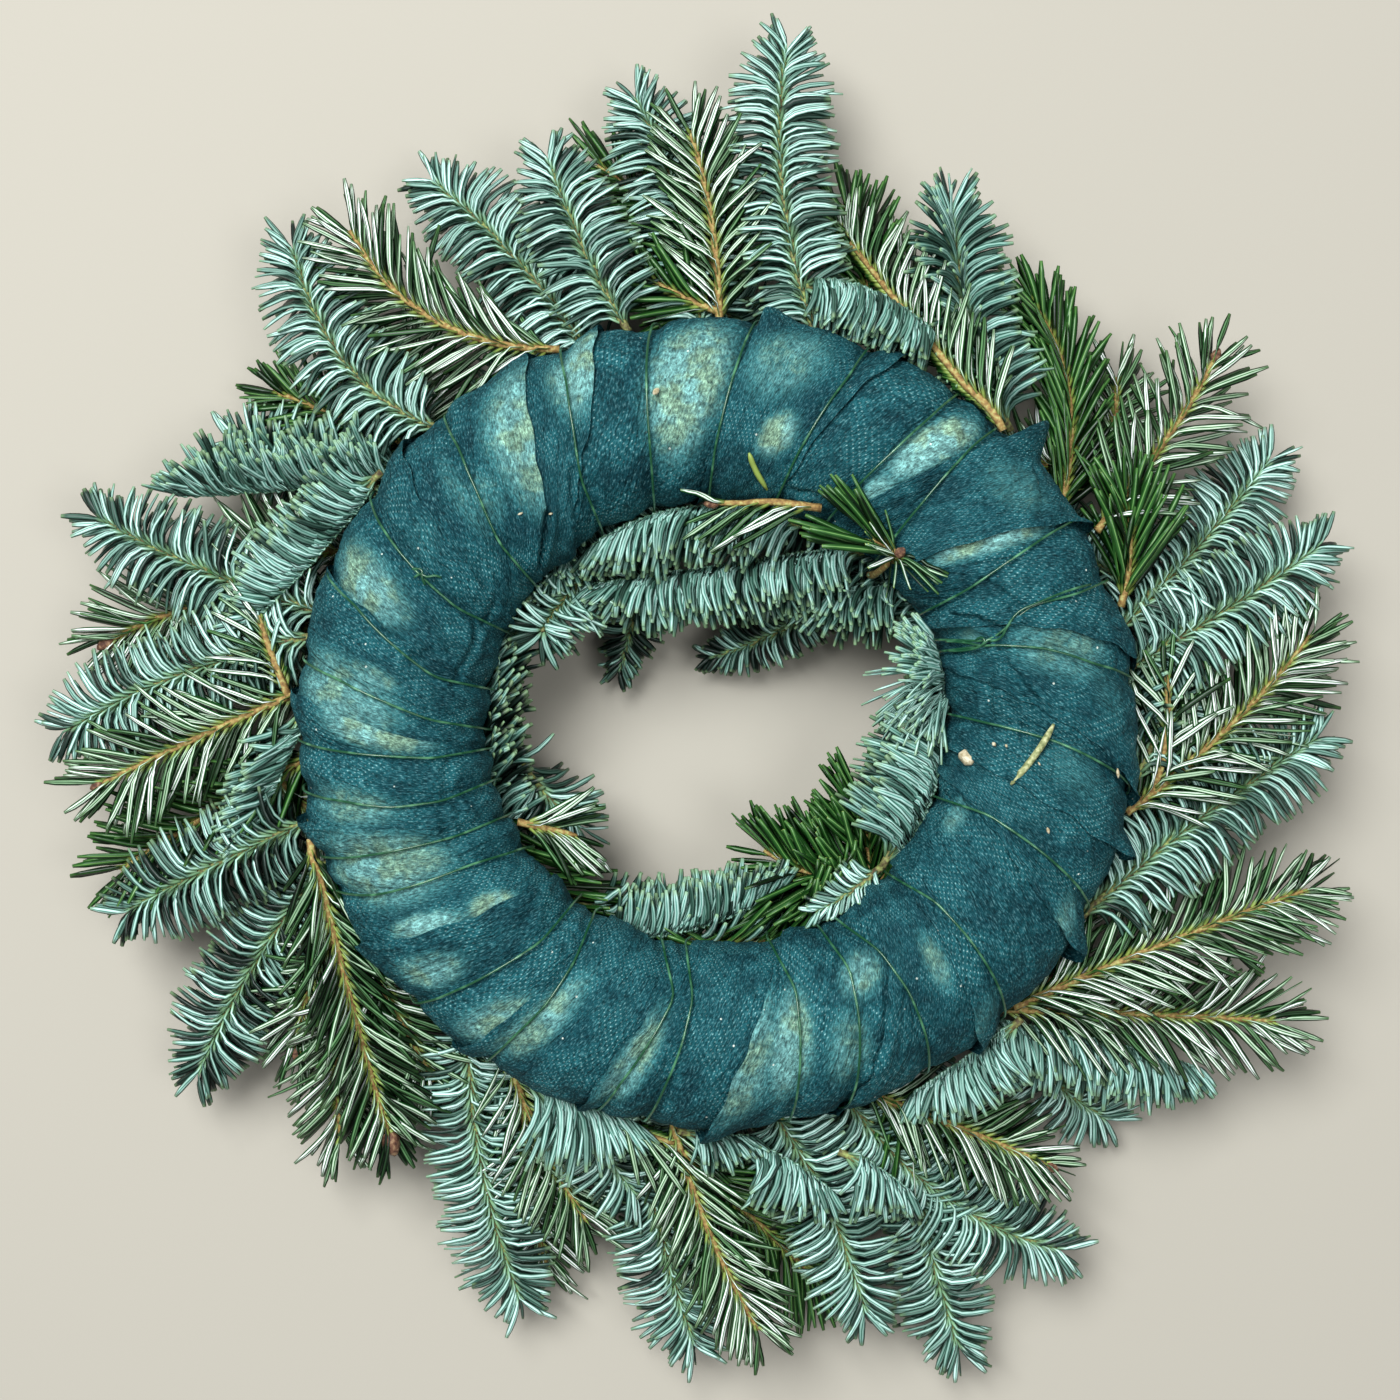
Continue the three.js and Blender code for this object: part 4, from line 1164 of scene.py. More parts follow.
BAND_EDGES = (
    Edge((10.0, 13.5, 17.5, 21.0, 24.0)), Edge((30.0, 32.3, 35.3, 38.7, 42.0), flare=3.0),
    Edge((44.8, 47.8, 51.2, 55.9, 60.0), Lap.EARLIER, 9.0), Edge((64.0, 67.0, 70.0, 73.0, 75.0)),
    Edge((84.2, 86.0, 88.4, 91.0, 93.5), Lap.EARLIER, 4.5), Edge((106.8, 108.4, 112.0, 119.0, 126.0)),
    Edge((117.0, 119.4, 122.5, 127.0, 136.0)), Edge((138.0, 141.0, 144.5, 148.0, 151.0)),
    Edge((158.5, 160.5, 164.0, 168.0, 170.0)), Edge((176.0, 178.0, 181.0, 184.0, 186.0)),
    Edge((194.0, 196.0, 199.0, 202.0, 204.0), flare=2.0), Edge((213.0, 215.0, 218.0, 221.0, 223.0)),
    Edge((233.0, 235.0, 237.0, 239.0, 241.0)), Edge((251.3, 252.0, 255.0, 259.0, 262.0)),
    Edge((268.8, 271.2, 275.2, 280.2, 284.5), flare=3.0), Edge((289.0, 294.5, 301.0, 306.0, 309.5)),
    Edge((308.5, 311.0, 314.0, 317.0, 319.0), flare=2.0), Edge((327.0, 329.5, 333.6, 339.8, 345.0), flare=5.0),
    Edge((341.8, 343.4, 346.3, 349.6, 353.0), flare=4.5), Edge((351.6, 356.2, 361.2, 367.5, 373.0), flare=3.0),
)

CREASES = (
    Crease(((101.9, 58), (104.5, 72), (106.6, 86)), 0.7), Crease(((128.1, 125), (132.0, 138), (137.5, 155)), 1.5),
    Crease(((119.0, 112), (121.0, 124), (123.4, 139)), 1.0), Crease(((168.5, 104), (166.8, 110), (165.0, 114)), 0.7),
    Crease(((171.5, 134), (163.0, 141), (156.0, 138)), 0.8), Crease(((28.8, 109), (25.0, 102), (21.5, 97)), 1.4, 1.4),
    Crease(((16.6, 113), (12.0, 115), (2.0, 96)), 1.5, 1.4), Crease(((16.0, 113), (9.0, 128), (0.0, 131)), 1.4, 1.4),
    Crease(((18.8, 73), (17.2, 88), (15.6, 97)), 1.3, 1.3), Crease(((19.6, 78), (18.6, 90), (17.0, 112)), 1.4, 1.3),
    Crease(((5.0, 120), (1.0, 112), (-3.0, 107)), 0.7), Crease(((19.0, 112), (22.5, 122), (25.5, 140)), 1.4, 1.3),
    Crease(((333.0, 87), (336.2, 100), (339.4, 115)), 0.9, 1.2),
    Crease(((326.0, 141), (322.5, 139), (320.2, 134)), 0.8),
    Crease(((293.8, 55), (298.0, 76), (303.7, 105)), 0.7), Crease(((210.5, 122), (204.0, 115), (197.0, 119)), 0.8),
    Crease(((199.0, 130), (194.0, 124), (188.0, 131)), 0.8), Crease(((230.0, 135), (236.0, 141), (240.0, 137)), 0.7),
    Crease(((39.8, 30), (36.0, 44), (33.4, 56)), 0.5), Crease(((149.5, 139), (155.5, 146), (160.0, 140)), 0.7),
    Crease(((62.0, 147), (66.0, 139), (73.0, 146)), 0.7), Crease(((269.0, 75), (266.0, 84), (264.5, 92)), 0.6),
)

WORN_PATCHES = (
    WornPatch(175.5, 62, 4.5, 42, 0.75), WornPatch(157.6, 60, 3.6, 36, 0.85), WornPatch(172.0, 82, 1.6, 18, 0.7),
    WornPatch(122.5, 78, 5.2, 52, 0.85), WornPatch(110.6, 50, 3.6, 34, 0.95), WornPatch(95.0, 78, 5.2, 52, 0.9),
    WornPatch(134.5, 94, 2.8, 18, 0.45), WornPatch(137.5, 84, 1.6, 32, 0.4), WornPatch(79.5, 60, 4.5, 30, 0.6),
    WornPatch(78.8, 108, 2.6, 16, 0.95), WornPatch(53.2, 74, 2.6, 36, 1.0), WornPatch(56.5, 116, 1.8, 12, 0.8),
    WornPatch(35.2, 92, 2.0, 40, 0.95), WornPatch(39.5, 56, 4.0, 20, 0.45), WornPatch(13.0, 78, 4.2, 34, 0.6),
    WornPatch(19.0, 132, 2.6, 12, 0.55), WornPatch(352.5, 74, 3.4, 22, 0.35), WornPatch(330.0, 46, 2.8, 12, 0.6),
    WornPatch(338.0, 142, 3.4, 10, 0.65), WornPatch(311.6, 94, 1.6, 20, 0.65), WornPatch(299.0, 114, 3.4, 16, 0.75),
    WornPatch(291.5, 74, 3.0, 26, 0.6), WornPatch(282.6, 86, 3.0, 38, 0.85), WornPatch(274.5, 84, 4.2, 50, 0.75),
    WornPatch(310.0, 44, 4.5, 14, 0.4), WornPatch(256.6, 74, 2.2, 40, 0.8), WornPatch(240.3, 76, 2.4, 42, 0.75),
    WornPatch(234.4, 60, 3.0, 30, 0.8), WornPatch(221.8, 58, 2.6, 24, 0.75), WornPatch(216.0, 76, 2.0, 22, 0.95),
    WornPatch(220.4, 116, 2.6, 16, 1.0), WornPatch(204.0, 70, 5.2, 44, 0.8), WornPatch(193.0, 62, 2.6, 34, 0.65),
    WornPatch(181.6, 86, 2.4, 36, 0.9), WornPatch(147.0, 82, 2.6, 14, 0.25), WornPatch(4.0, 50, 3.0, 16, 0.3),
)

# Places where the band stands out or in at its outer side: around, over, how far, and half sizes round and over
FLAPS = ((100.0, 6.0, -2.5, 2.0, 26.0), (22.0, 8.0, -1.5, 4.0, 26.0), (129.0, 6.0, 2.0, 3.0, 22.0))


@dataclass(frozen=True)
class Band:
    """The fleece band: one strip wound round the tube, each turn lapping its neighbour.

    Attributes:
        width: The strip's width as it was cut.
        turn_length: Length of one turn.
        first_over: Where over the section a turn starts.
        last_over: Where it ends.
        back_over: Where the back's fine rows end.
        passing_over: Where an edge starts to pass to the next turn's.
        tucked: How far round the ring a turn reaches under its neighbour.
        top_lift: Lift of a free edge off the straw.
        mid_lift: Lift of the middle of a turn.
        under_lift: Lift of a tucked edge.
        edge_part: The part of the strip's width over which its lift changes.
        least_lift: Lift of the deepest creases.
        valley: Depth of the valley that a turn of wire presses in.
        valley_width: Half width of that valley.
        puff: How far the band stands proud well away from the wire.
        puff_reach: How far from the wire that is.
        degree_length: Length of a degree over the section.
        crease: How deep a crease is for each unit of its depth.
        ridge: How high its two low ridges are for each unit.
        ridge_place: How far they lie from its line.
        ridge_width: Their half width.
        patch_width: Width of a worn patch for each unit of its half size round the ring.
        flare_place: Where over the section free edges stand out most.
        flare_over: Half width of that stretch, over the section.
        flare_width: How far it reaches into the strip.
        eased: Over how many degrees the relief starts and stops.
        back_rows: Rows of faces over the back in each turn.
        front_rows: Rows of faces over the front.
        columns: Faces across the strip.
    """

    width: float = 46.0
    turn_length: float = 156.0
    first_over: float = -10.0
    last_over: float = 350.0
    back_over: float = 190.0
    passing_over: float = 165.0
    tucked: float = 6.0
    top_lift: float = 2.9
    mid_lift: float = 1.5
    under_lift: float = 0.7
    edge_part: float = 0.3
    least_lift: float = -0.2
    valley: float = 1.7
    valley_width: float = 2.8
    puff: float = 1.1
    puff_reach: float = 16.0
    degree_length: float = 0.43
    crease: float = 1.5
    ridge: float = 0.6
    ridge_place: float = 2.4
    ridge_width: float = 1.5
    patch_width: float = 1.4
    flare_place: float = 8.0
    flare_over: float = 26.0
    flare_width: float = 7.0
    eased: float = 20.0
    back_rows: int = 78
    front_rows: int = 10
    columns: int = 54

    def edge_lines(self, over: Array, turn: Array) -> tuple[Array, Array, Array, Array]:
        """Both edges of the strip at each place of its winding, and their lifts.

        Args:
            over: Place over the section.
            turn: The number of the turn.

        Returns:
            The low and high edge's angle round the ring, and the low and high edge's lift. Past the hole side,
            each passes evenly to the next turn's, so that the winding is one strip.
        """
        count = len(BAND_EDGES)
        part = smooth((over - self.passing_over) / (self.last_over - self.passing_over))
        here, beyond = np.minimum(over, 180.0), np.full_like(over, self.first_over)
        lines = []
        for step, outwards in ((0, -1.0), (1, 1.0)):
            rows = []
            for later, place in enumerate((here, beyond)):
                number = turn + step + later
                edge = [BAND_EDGES[n % count] for n in number]
                under = np.array([e.lap is Lap.EARLIER for e in edge]) == (step == 0)
                around = np.array([along_turn(e.around, p) for e, p in zip(edge, place)]) + 360.0 * (number // count)
                tucked = outwards * np.where(under, self.tucked, 0)
                rows.append((around + tucked, np.where(under, self.under_lift, self.top_lift)))
            lines += [blend(first, second, part) for first, second in zip(*rows)]
        return lines[0], lines[2], lines[1], lines[3]

    def off_line(self, line: Array, around: Array, over: Array, arm: Array) -> Array:
        """Distance along the band from a crease's line: the least of the distances to its straight parts.

        Args:
            line: The line's places (around, over).
            around: Angle round the ring at each point.
            over: Place over the section at each point.
            arm: Length of a degree round the ring at each point.

        Returns:
            The distance of each point.
        """
        best = np.full(around.shape, np.inf)
        for first, second in zip(line[:-1], line[1:]):
            across, down = past(around, first[0]) * arm, (over - first[1]) * self.degree_length
            way_across = past(second[0], first[0]) * arm
            way_down = np.full(arm.shape, (second[1] - first[1]) * self.degree_length)
            size = way_across * way_across + way_down * way_down
            t = np.clip((across * way_across + down * way_down) / size, 0, 1)
            best = np.minimum(best, np.hypot(across - t * way_across, down - t * way_down))
        return best

    def relief(self, around: Array, over: Array) -> Array:
        """How far the wire, the creases and the loose stretches between move the band off the straw.

        A valley is −depth·exp(−(d/w)²), where d is the distance to the wire's line, and a crease is the same
        with the distance to its own line, between two low ridges. Between two wires the band stands proud by
        up to a millimetre. Products of sines make it uneven by up to half a millimetre.

        Args:
            around: Angle round the ring at each point.
            over: Place over the section at each point.

        Returns:
            The change of each point's lift.
        """
        arm = (RING.radius + RING.half_width * turned(over)[0]) * np.pi / 180
        nearest = np.min([np.abs(past(around, along_turn(values, over))) * arm for values in WIRE_TURNS], axis=0)
        moved = -self.valley * np.exp(-(nearest / self.valley_width) ** 2)
        moved = moved + self.puff * smooth(nearest / self.puff_reach)
        for crease in CREASES:
            best = self.off_line(np.array(crease.line, dtype=float), around, over, arm)
            moved = moved - self.crease * crease.depth * np.exp(-(best / crease.half_width) ** 2)
            moved = moved + self.ridge * crease.depth * np.exp(-((best - self.ridge_place) / self.ridge_width) ** 2)
        waves = 0.35 * np.sin(around * 0.9 + over * 0.06) * np.sin(over * 0.11 + around * 0.31)
        waves = waves + 0.22 * np.sin(around * 2.3 - over * 0.17 + 1.3) * np.sin(around * 1.1 + over * 0.23)
        return moved + waves

    def worn(self, around: Array, over: Array, turn: Array) -> Array:
        """How worn the band is: soft oval patches, exp(−0.8·r⁴) for a distance of r half sizes.

        Each patch lies on one turn of the strip, so it ends sharply where a neighbour laps over that turn.

        Args:
            around: Angle round the ring at each point.
            over: Place over the section at each point.
            turn: The number of the turn at each row.

        Returns:
            How worn each point is, from 0 to 1.
        """
        total = np.zeros(around.shape)
        for patch in WORN_PATCHES:
            gaps = [past(patch.around, float(along_turn(edge.around, patch.over))) for edge in BAND_EDGES]
            owner = min((gap, number) for number, gap in enumerate(gaps) if gap >= 0)[1]
            down = over - patch.over
            beside = past(around - patch.around, patch.lean * down)
            r = np.hypot(beside / (self.patch_width * patch.half_around), down / patch.half_over)
            here = (turn % len(BAND_EDGES) == owner)[:, None]
            total = np.maximum(total, here * patch.strength * np.exp(-r ** 4 * 0.8))
        return total

    def lifted(self, around: Array, over: Array, turn: Array, v: Array, edge_lifts: Sequence[Array]) -> Array:
        """How far the band lies off the straw.

        Args:
            around: Angle round the ring at each point.
            over: Place over the section at each point.
            turn: The number of the turn at each row.
            v: Place across the strip, from 0 to 1.
            edge_lifts: Lift of the low and the high edge at each row.

        Returns:
            The lift: even across the middle, eased to each edge's own, with the relief on the back, and with
            edges that flare and flaps that fold at the ring's outer side.
        """
        lift = np.full(around.shape, self.mid_lift)
        for beside, edge_lift in zip((v, 1 - v), edge_lifts):
            lift = lift + (edge_lift[:, None] - self.mid_lift) * (1 - smooth(beside / self.edge_part))
        begun, ended = (smooth((over - place) / self.eased) for place in (self.first_over, 180))
        lift = lift + self.relief(around, over) * begun * (1 - ended)
        out = np.exp(-((over[:, 0] - self.flare_place) / self.flare_over) ** 2)
        for step, (beside, top) in enumerate(((v, Lap.LATER), (1 - v, Lap.EARLIER))):
            flare = np.array([e.flare if e.lap is top else 0.0 for e in BAND_EDGES])[(turn + step) % len(BAND_EDGES)]
            lift = lift + (flare * out)[:, None] * np.exp(-(beside * self.width / self.flare_width) ** 2)
        for place, height, push, half_around, half_over in FLAPS:
            beside = past(around, place)
            lift = lift + push * np.exp(-(beside / half_around) ** 2 - ((over - height) / half_over) ** 2)
        return np.maximum(lift, self.least_lift)

    def build(self, fleece: bpy.types.Material) -> bpy.types.Object:
        """Build the band as one open sheet and dress it.

        Args:
            fleece: The fleece's material.

        Returns:
            The band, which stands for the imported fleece_band.
        """
        turns = len(BAND_EDGES)
        back = np.linspace(self.first_over, self.back_over, self.back_rows + 1)[:-1]
        front = np.linspace(self.back_over, self.last_over, self.front_rows + 1)[:-1]
        one = np.concatenate([back, front])
        over = np.concatenate([np.tile(one, turns), [self.last_over]])
        turn = np.concatenate([np.repeat(np.arange(turns), len(one)), [turns - 1]])
        low, high, *edge_lifts = self.edge_lines(over, turn)
        v = np.linspace(0, 1, self.columns + 1)[None, :]
        # The low edge wanders by a fraction of a degree, as a sum of two sines
        wander = 0.25 * np.sin(low * 1.7) + 0.15 * np.sin(over * 0.21 + turn)
        around = blend(low[:, None], high[:, None], v) + (wander * (over < 180))[:, None] * (1 - v) ** 4
        over_grid = np.broadcast_to(over[:, None], around.shape)
        points = RING.point(around, over_grid, self.lifted(around, over_grid, turn, v, edge_lifts))
        run = (turn * self.turn_length + (over - self.first_over) / 360 * self.turn_length) * MM
        uv = np.stack(np.broadcast_arrays(v * self.width * MM, run[:, None]), axis=-1)
        sheet = Surface.grid(points, uv, worn=self.worn(around, over_grid, turn))
        made = sheet.piece("band_fleece", [fleece])
        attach(made, "root")
        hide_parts("fleece_band")
        return made


def walked(places: Array, steps: int) -> tuple[Array, Array, Array]:
    """An even walk through places on the ring, so many steps to each: its progress, around and over."""
    t = np.linspace(0, len(places) - 1, steps * (len(places) - 1) + 1)
    return (t, *read(t, np.arange(len(places)), places).T)


@dataclass(frozen=True)
class BindingWire:
    """The binding wire: one round wire wound over the band and round the stems.

    Attributes:
        radius: The wire's radius.
        lift: Its lift off the straw over the back.
        below: The same at its most, below, where it passes the sprays.
        back_steps: Steps over the back in each turn.
        front_steps: Steps below.
        strand_steps: Steps between two places of a loose strand.
        strand_rise: How far a loose strand rises in its middle.
    """

    radius: float = 0.4
    lift: float = 1.8
    below: float = 9.0
    back_steps: int = 34
    front_steps: int = 12
    strand_steps: int = 3
    strand_rise: float = 1.0

    def route(self) -> Array:
        """The wire's middle: its angle round the ring follows the table over the back, and passes on below.

        Below, its lift grows with the power 0.6 of the sine of the way to the next turn, to clear the sprays.

        Returns:
            The path of all its turns.
        """
        back = np.linspace(0, 180, self.back_steps + 1)
        front = np.linspace(180, 360, self.front_steps + 1)[1:-1]
        part = (front - 180) / 180
        low = self.lift + (self.below - self.lift) * np.sin(np.pi * part) ** 0.6
        rows = []
        for values, following in zip(WIRE_TURNS, [*WIRE_TURNS[1:], None]):
            rows.append(RING.point(along_turn(values, back), back, self.lift))
            if following:
                around = blend(along_turn(values, 180.0), along_turn(following, 0.0), part)
                rows.append(RING.point(around, front, low))
        path = np.concatenate(rows)
        return np.concatenate([path[:1], rounded(path, (1, 2, 1)), path[-1:]])

    def strand(self, places: Array) -> Array:
        """A loose strand's middle: an even walk through its places that rises to its middle."""
        t, *walk = walked(places, self.strand_steps)
        around, over = rounded(np.pad(np.stack(walk, axis=-1), ((2, 2), (0, 0)), mode="edge"), (1, 2, 3, 2, 1)).T
        return RING.point(around, over, self.lift + self.strand_rise * np.sin(np.pi * t / t[-1]))

    def build(self, lacquered: bpy.types.Material) -> bpy.types.Object:
        """Build the wire and dress it.

        Args:
            lacquered: The wire's material.

        Returns:
            The wire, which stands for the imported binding_wire.
        """
        paths = [self.route(), *(self.strand(np.array(places)) for places in WIRE_STRANDS)]
        tubes = [tube(path, np.full(len(path), self.radius), RING.off(path)[1], 0, 0) for path in paths]
        made = Surface.joined(tubes).piece("wire_winding", [lacquered])
        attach(made, "root")
        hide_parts("binding_wire")
        return made


class Bit(Enum):
    """What a loose bit on the band is, as its material's number."""

    TWIG = 0
    WOOD = 1
    NEEDLE = 2


# The loose bits: what each is, its places (around, over), and its half width
LOOSE_BITS = (
    (Bit.TWIG, ((0.0, 90.0), (-4.0, 96.5), (-8.0, 103.5), (-12.1, 110.5)), 1.1),
    (Bit.WOOD, ((-6.9, 146.0), (-7.8, 143.0), (-9.2, 137.0)), 1.9),
    (Bit.WOOD, ((-4.0, 125.0), (-4.7, 123.0)), 0.6), (Bit.WOOD, ((-4.2, 117.0), (-4.8, 116.0)), 0.4),
    (Bit.WOOD, ((-6.6, 46.0), (-8.0, 44.0)), 0.5), (Bit.WOOD, ((-18.0, 84.0), (-18.9, 82.0)), 0.5),
    (Bit.WOOD, ((99.5, 81.0), (100.6, 84.0)), 0.9), (Bit.WOOD, ((-7.0, 97.5), (-7.6, 96.0)), 0.3),
    (Bit.NEEDLE, ((83.5, 121.0), (82.6, 127.0), (81.2, 134.0), (78.2, 146.0)), 0.9),
    (Bit.WOOD, ((132.6, 114.0), (131.6, 115.0)), 0.35), (Bit.WOOD, ((127.8, 126.0), (127.0, 127.0)), 0.35),
)


@dataclass(frozen=True)
class LooseBits:
    """A chip of twig, a needle and small chips of wood that lie on the band.

    Attributes:
        lift: Their lift off the straw.
        steps: Steps between two places of a bit.
        end: Half width of their ends, as a part of the full one.
        taper: How fast they reach the full one.
    """

    lift: float = 3.4
    steps: int = 3
    end: float = 0.35
    taper: float = 4.0

    def build(self, materials: Sequence[bpy.types.Material]) -> bpy.types.Object:
        """Build the bits, each a short rod whose ends taper.

        Args:
            materials: Those of twig, wood and needle.

        Returns:
            The bits, as one piece.
        """
        parts = []
        for bit, places, half_width in LOOSE_BITS:
            t, around, over = walked(np.array(places), self.steps)
            path = RING.point(around, over, self.lift)
            radii = half_width * np.clip(self.taper * np.minimum(t, t[-1] - t) / t[-1] + self.end, self.end, 1.0)
            parts.append(tube(path, radii, RING.off(path)[1], bit.value, bit.value))
        made = Surface.joined(parts).piece("loose_bits", materials)
        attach(made, "root")
        return made


def principled(name: str) -> tuple[bpy.types.Material, Callable[..., bpy.types.Node], bpy.types.Node]:
    """A new material with one shader.

    Args:
        name: The material's name.

    Returns:
        The material, add_node() for its tree, and its shader.
    """
    material = bpy.data.materials.new(name)
    material.use_nodes = True
    material.node_tree.nodes.clear()
    add = partial(add_node, material.node_tree)
    shader = add("BsdfPrincipled")
    add("OutputMaterial", {"Surface": shader})
    return material, add, shader


# Settings of nodes that mix colours, and of nodes that ease a value from one range to another
COLOURS = {"data_type": "RGBA"}
EASED = {"interpolation_type": "SMOOTHSTEP"}


@dataclass(frozen=True)
class NeedleFinish:
    """Living fir needles: a waxy skin, with lines along it and a yellow-green foot.

    Attributes:
        name: The material's name.
        upper: Colours across the upper side, from the midrib (0) to the edge (1).
        lower: The same across the underside.
        foot: Colour of the needle's foot.
        foot_reach: The part of the needle's length that it fades over.
        tip: Colour of its tip.
        shades: Colours that needles are tinted by, from one to the next.
        roughness: Roughness of the skin.
    """

    name: str
    upper: Stops
    lower: Stops
    foot: str
    foot_reach: float
    tip: str
    shades: Stops
    roughness: float

    def material(self) -> bpy.types.Material:
        """Build the material from the needle's own pattern: across it, along it, and its tint, which carries painted
        shade.

        Returns:
            The material.
        """
        made, add, shader = principled(self.name)
        place = add("SeparateXYZ", [add("UVMap", uv_map="pattern")])
        offset = add("Math", [place.outputs["X"], 0.5], operation="SUBTRACT")
        across = add("Math", [add("Math", [offset], operation="ABSOLUTE"), 2.0], operation="MULTIPLY")
        under = add("Math", [place.outputs["Y"], 1.0], operation="GREATER_THAN")
        along = add("Math", [place.outputs["Y"]], operation="FRACT")
        upper, lower = (add("ValToRGB", [across], stops) for stops in (self.upper, self.lower))
        sides = add("Mix", [under, upper, lower], **COLOURS)
        # The tint picks a shade: random tone, with painted shade for needles below the stem and for shoots in shade
        shade = add("ValToRGB", [add("Attribute", attribute_name="tint").outputs["Fac"]], self.shades)
        tinted = add("Mix", [1.0, sides, shade], blend_type="MULTIPLY", **COLOURS)
        foot = add("MapRange", [along, 0.04, self.foot_reach, 0.85, 0.0], **EASED)
        footed = add("Mix", [foot, tinted, self.foot], **COLOURS)
        tip = add("MapRange", [along, 0.86, 0.99, 0.0, 0.6], **EASED)
        tipped = add("Mix", [tip, footed, self.tip], **COLOURS)
        # Mottling about 4 mm across, with wax grain down to 0.5 mm
        mottle = add("TexNoise", [add("TexCoord").outputs["Object"], 250.0, 3.0])
        strength = add("MapRange", [mottle, 0.3, 0.7, 0.86, 1.1])
        mottled = add("VectorMath", [tipped, strength], operation="SCALE")
        plug(shader, {"Base Color": mottled, "Roughness": self.roughness, "IOR": 1.45})
        return made


@dataclass(frozen=True)
class Mottled:
    """A finish whose colour follows fine noise in the piece's own places.

    Attributes:
        name: The material's name.
        stops: Colours over the noise.
        scale: How many of the noise's features lie along a metre.
        detail: How many finer layers the noise has.
        roughness: The surface's roughness.
        bump: How strongly the noise raises the surface; 0 where it doesn't.
        bump_height: How far, in metres.
        coat: Weight of the clear coat.
    """

    name: str
    stops: Stops
    scale: float = 800.0
    detail: float = 4.0
    roughness: float = 0.75
    bump: float = 0.6
    bump_height: float = 0.0002
    coat: float = 0.0

    def material(self) -> bpy.types.Material:
        """Build the material from noise.

        Returns:
            The material.
        """
        made, add, shader = principled(self.name)
        noise = add("TexNoise", [add("TexCoord").outputs["Object"], self.scale, self.detail])
        plug(shader, {
            "Base Color": add("ValToRGB", [noise], self.stops), "Roughness": self.roughness, "Coat Weight": self.coat,
        })
        if self.bump:
            raised = {"Strength": self.bump, "Distance": self.bump_height, "Height": noise}
            plug(shader, {"Normal": add("Bump", raised)})
        return made


def bark(name: str, *colours: str) -> Mottled:
    """Bark or wood whose flakes are about 1.2 mm across, dark, light and palest."""
    return Mottled(name, tuple(zip((0.35, 0.52, 0.66), colours)))


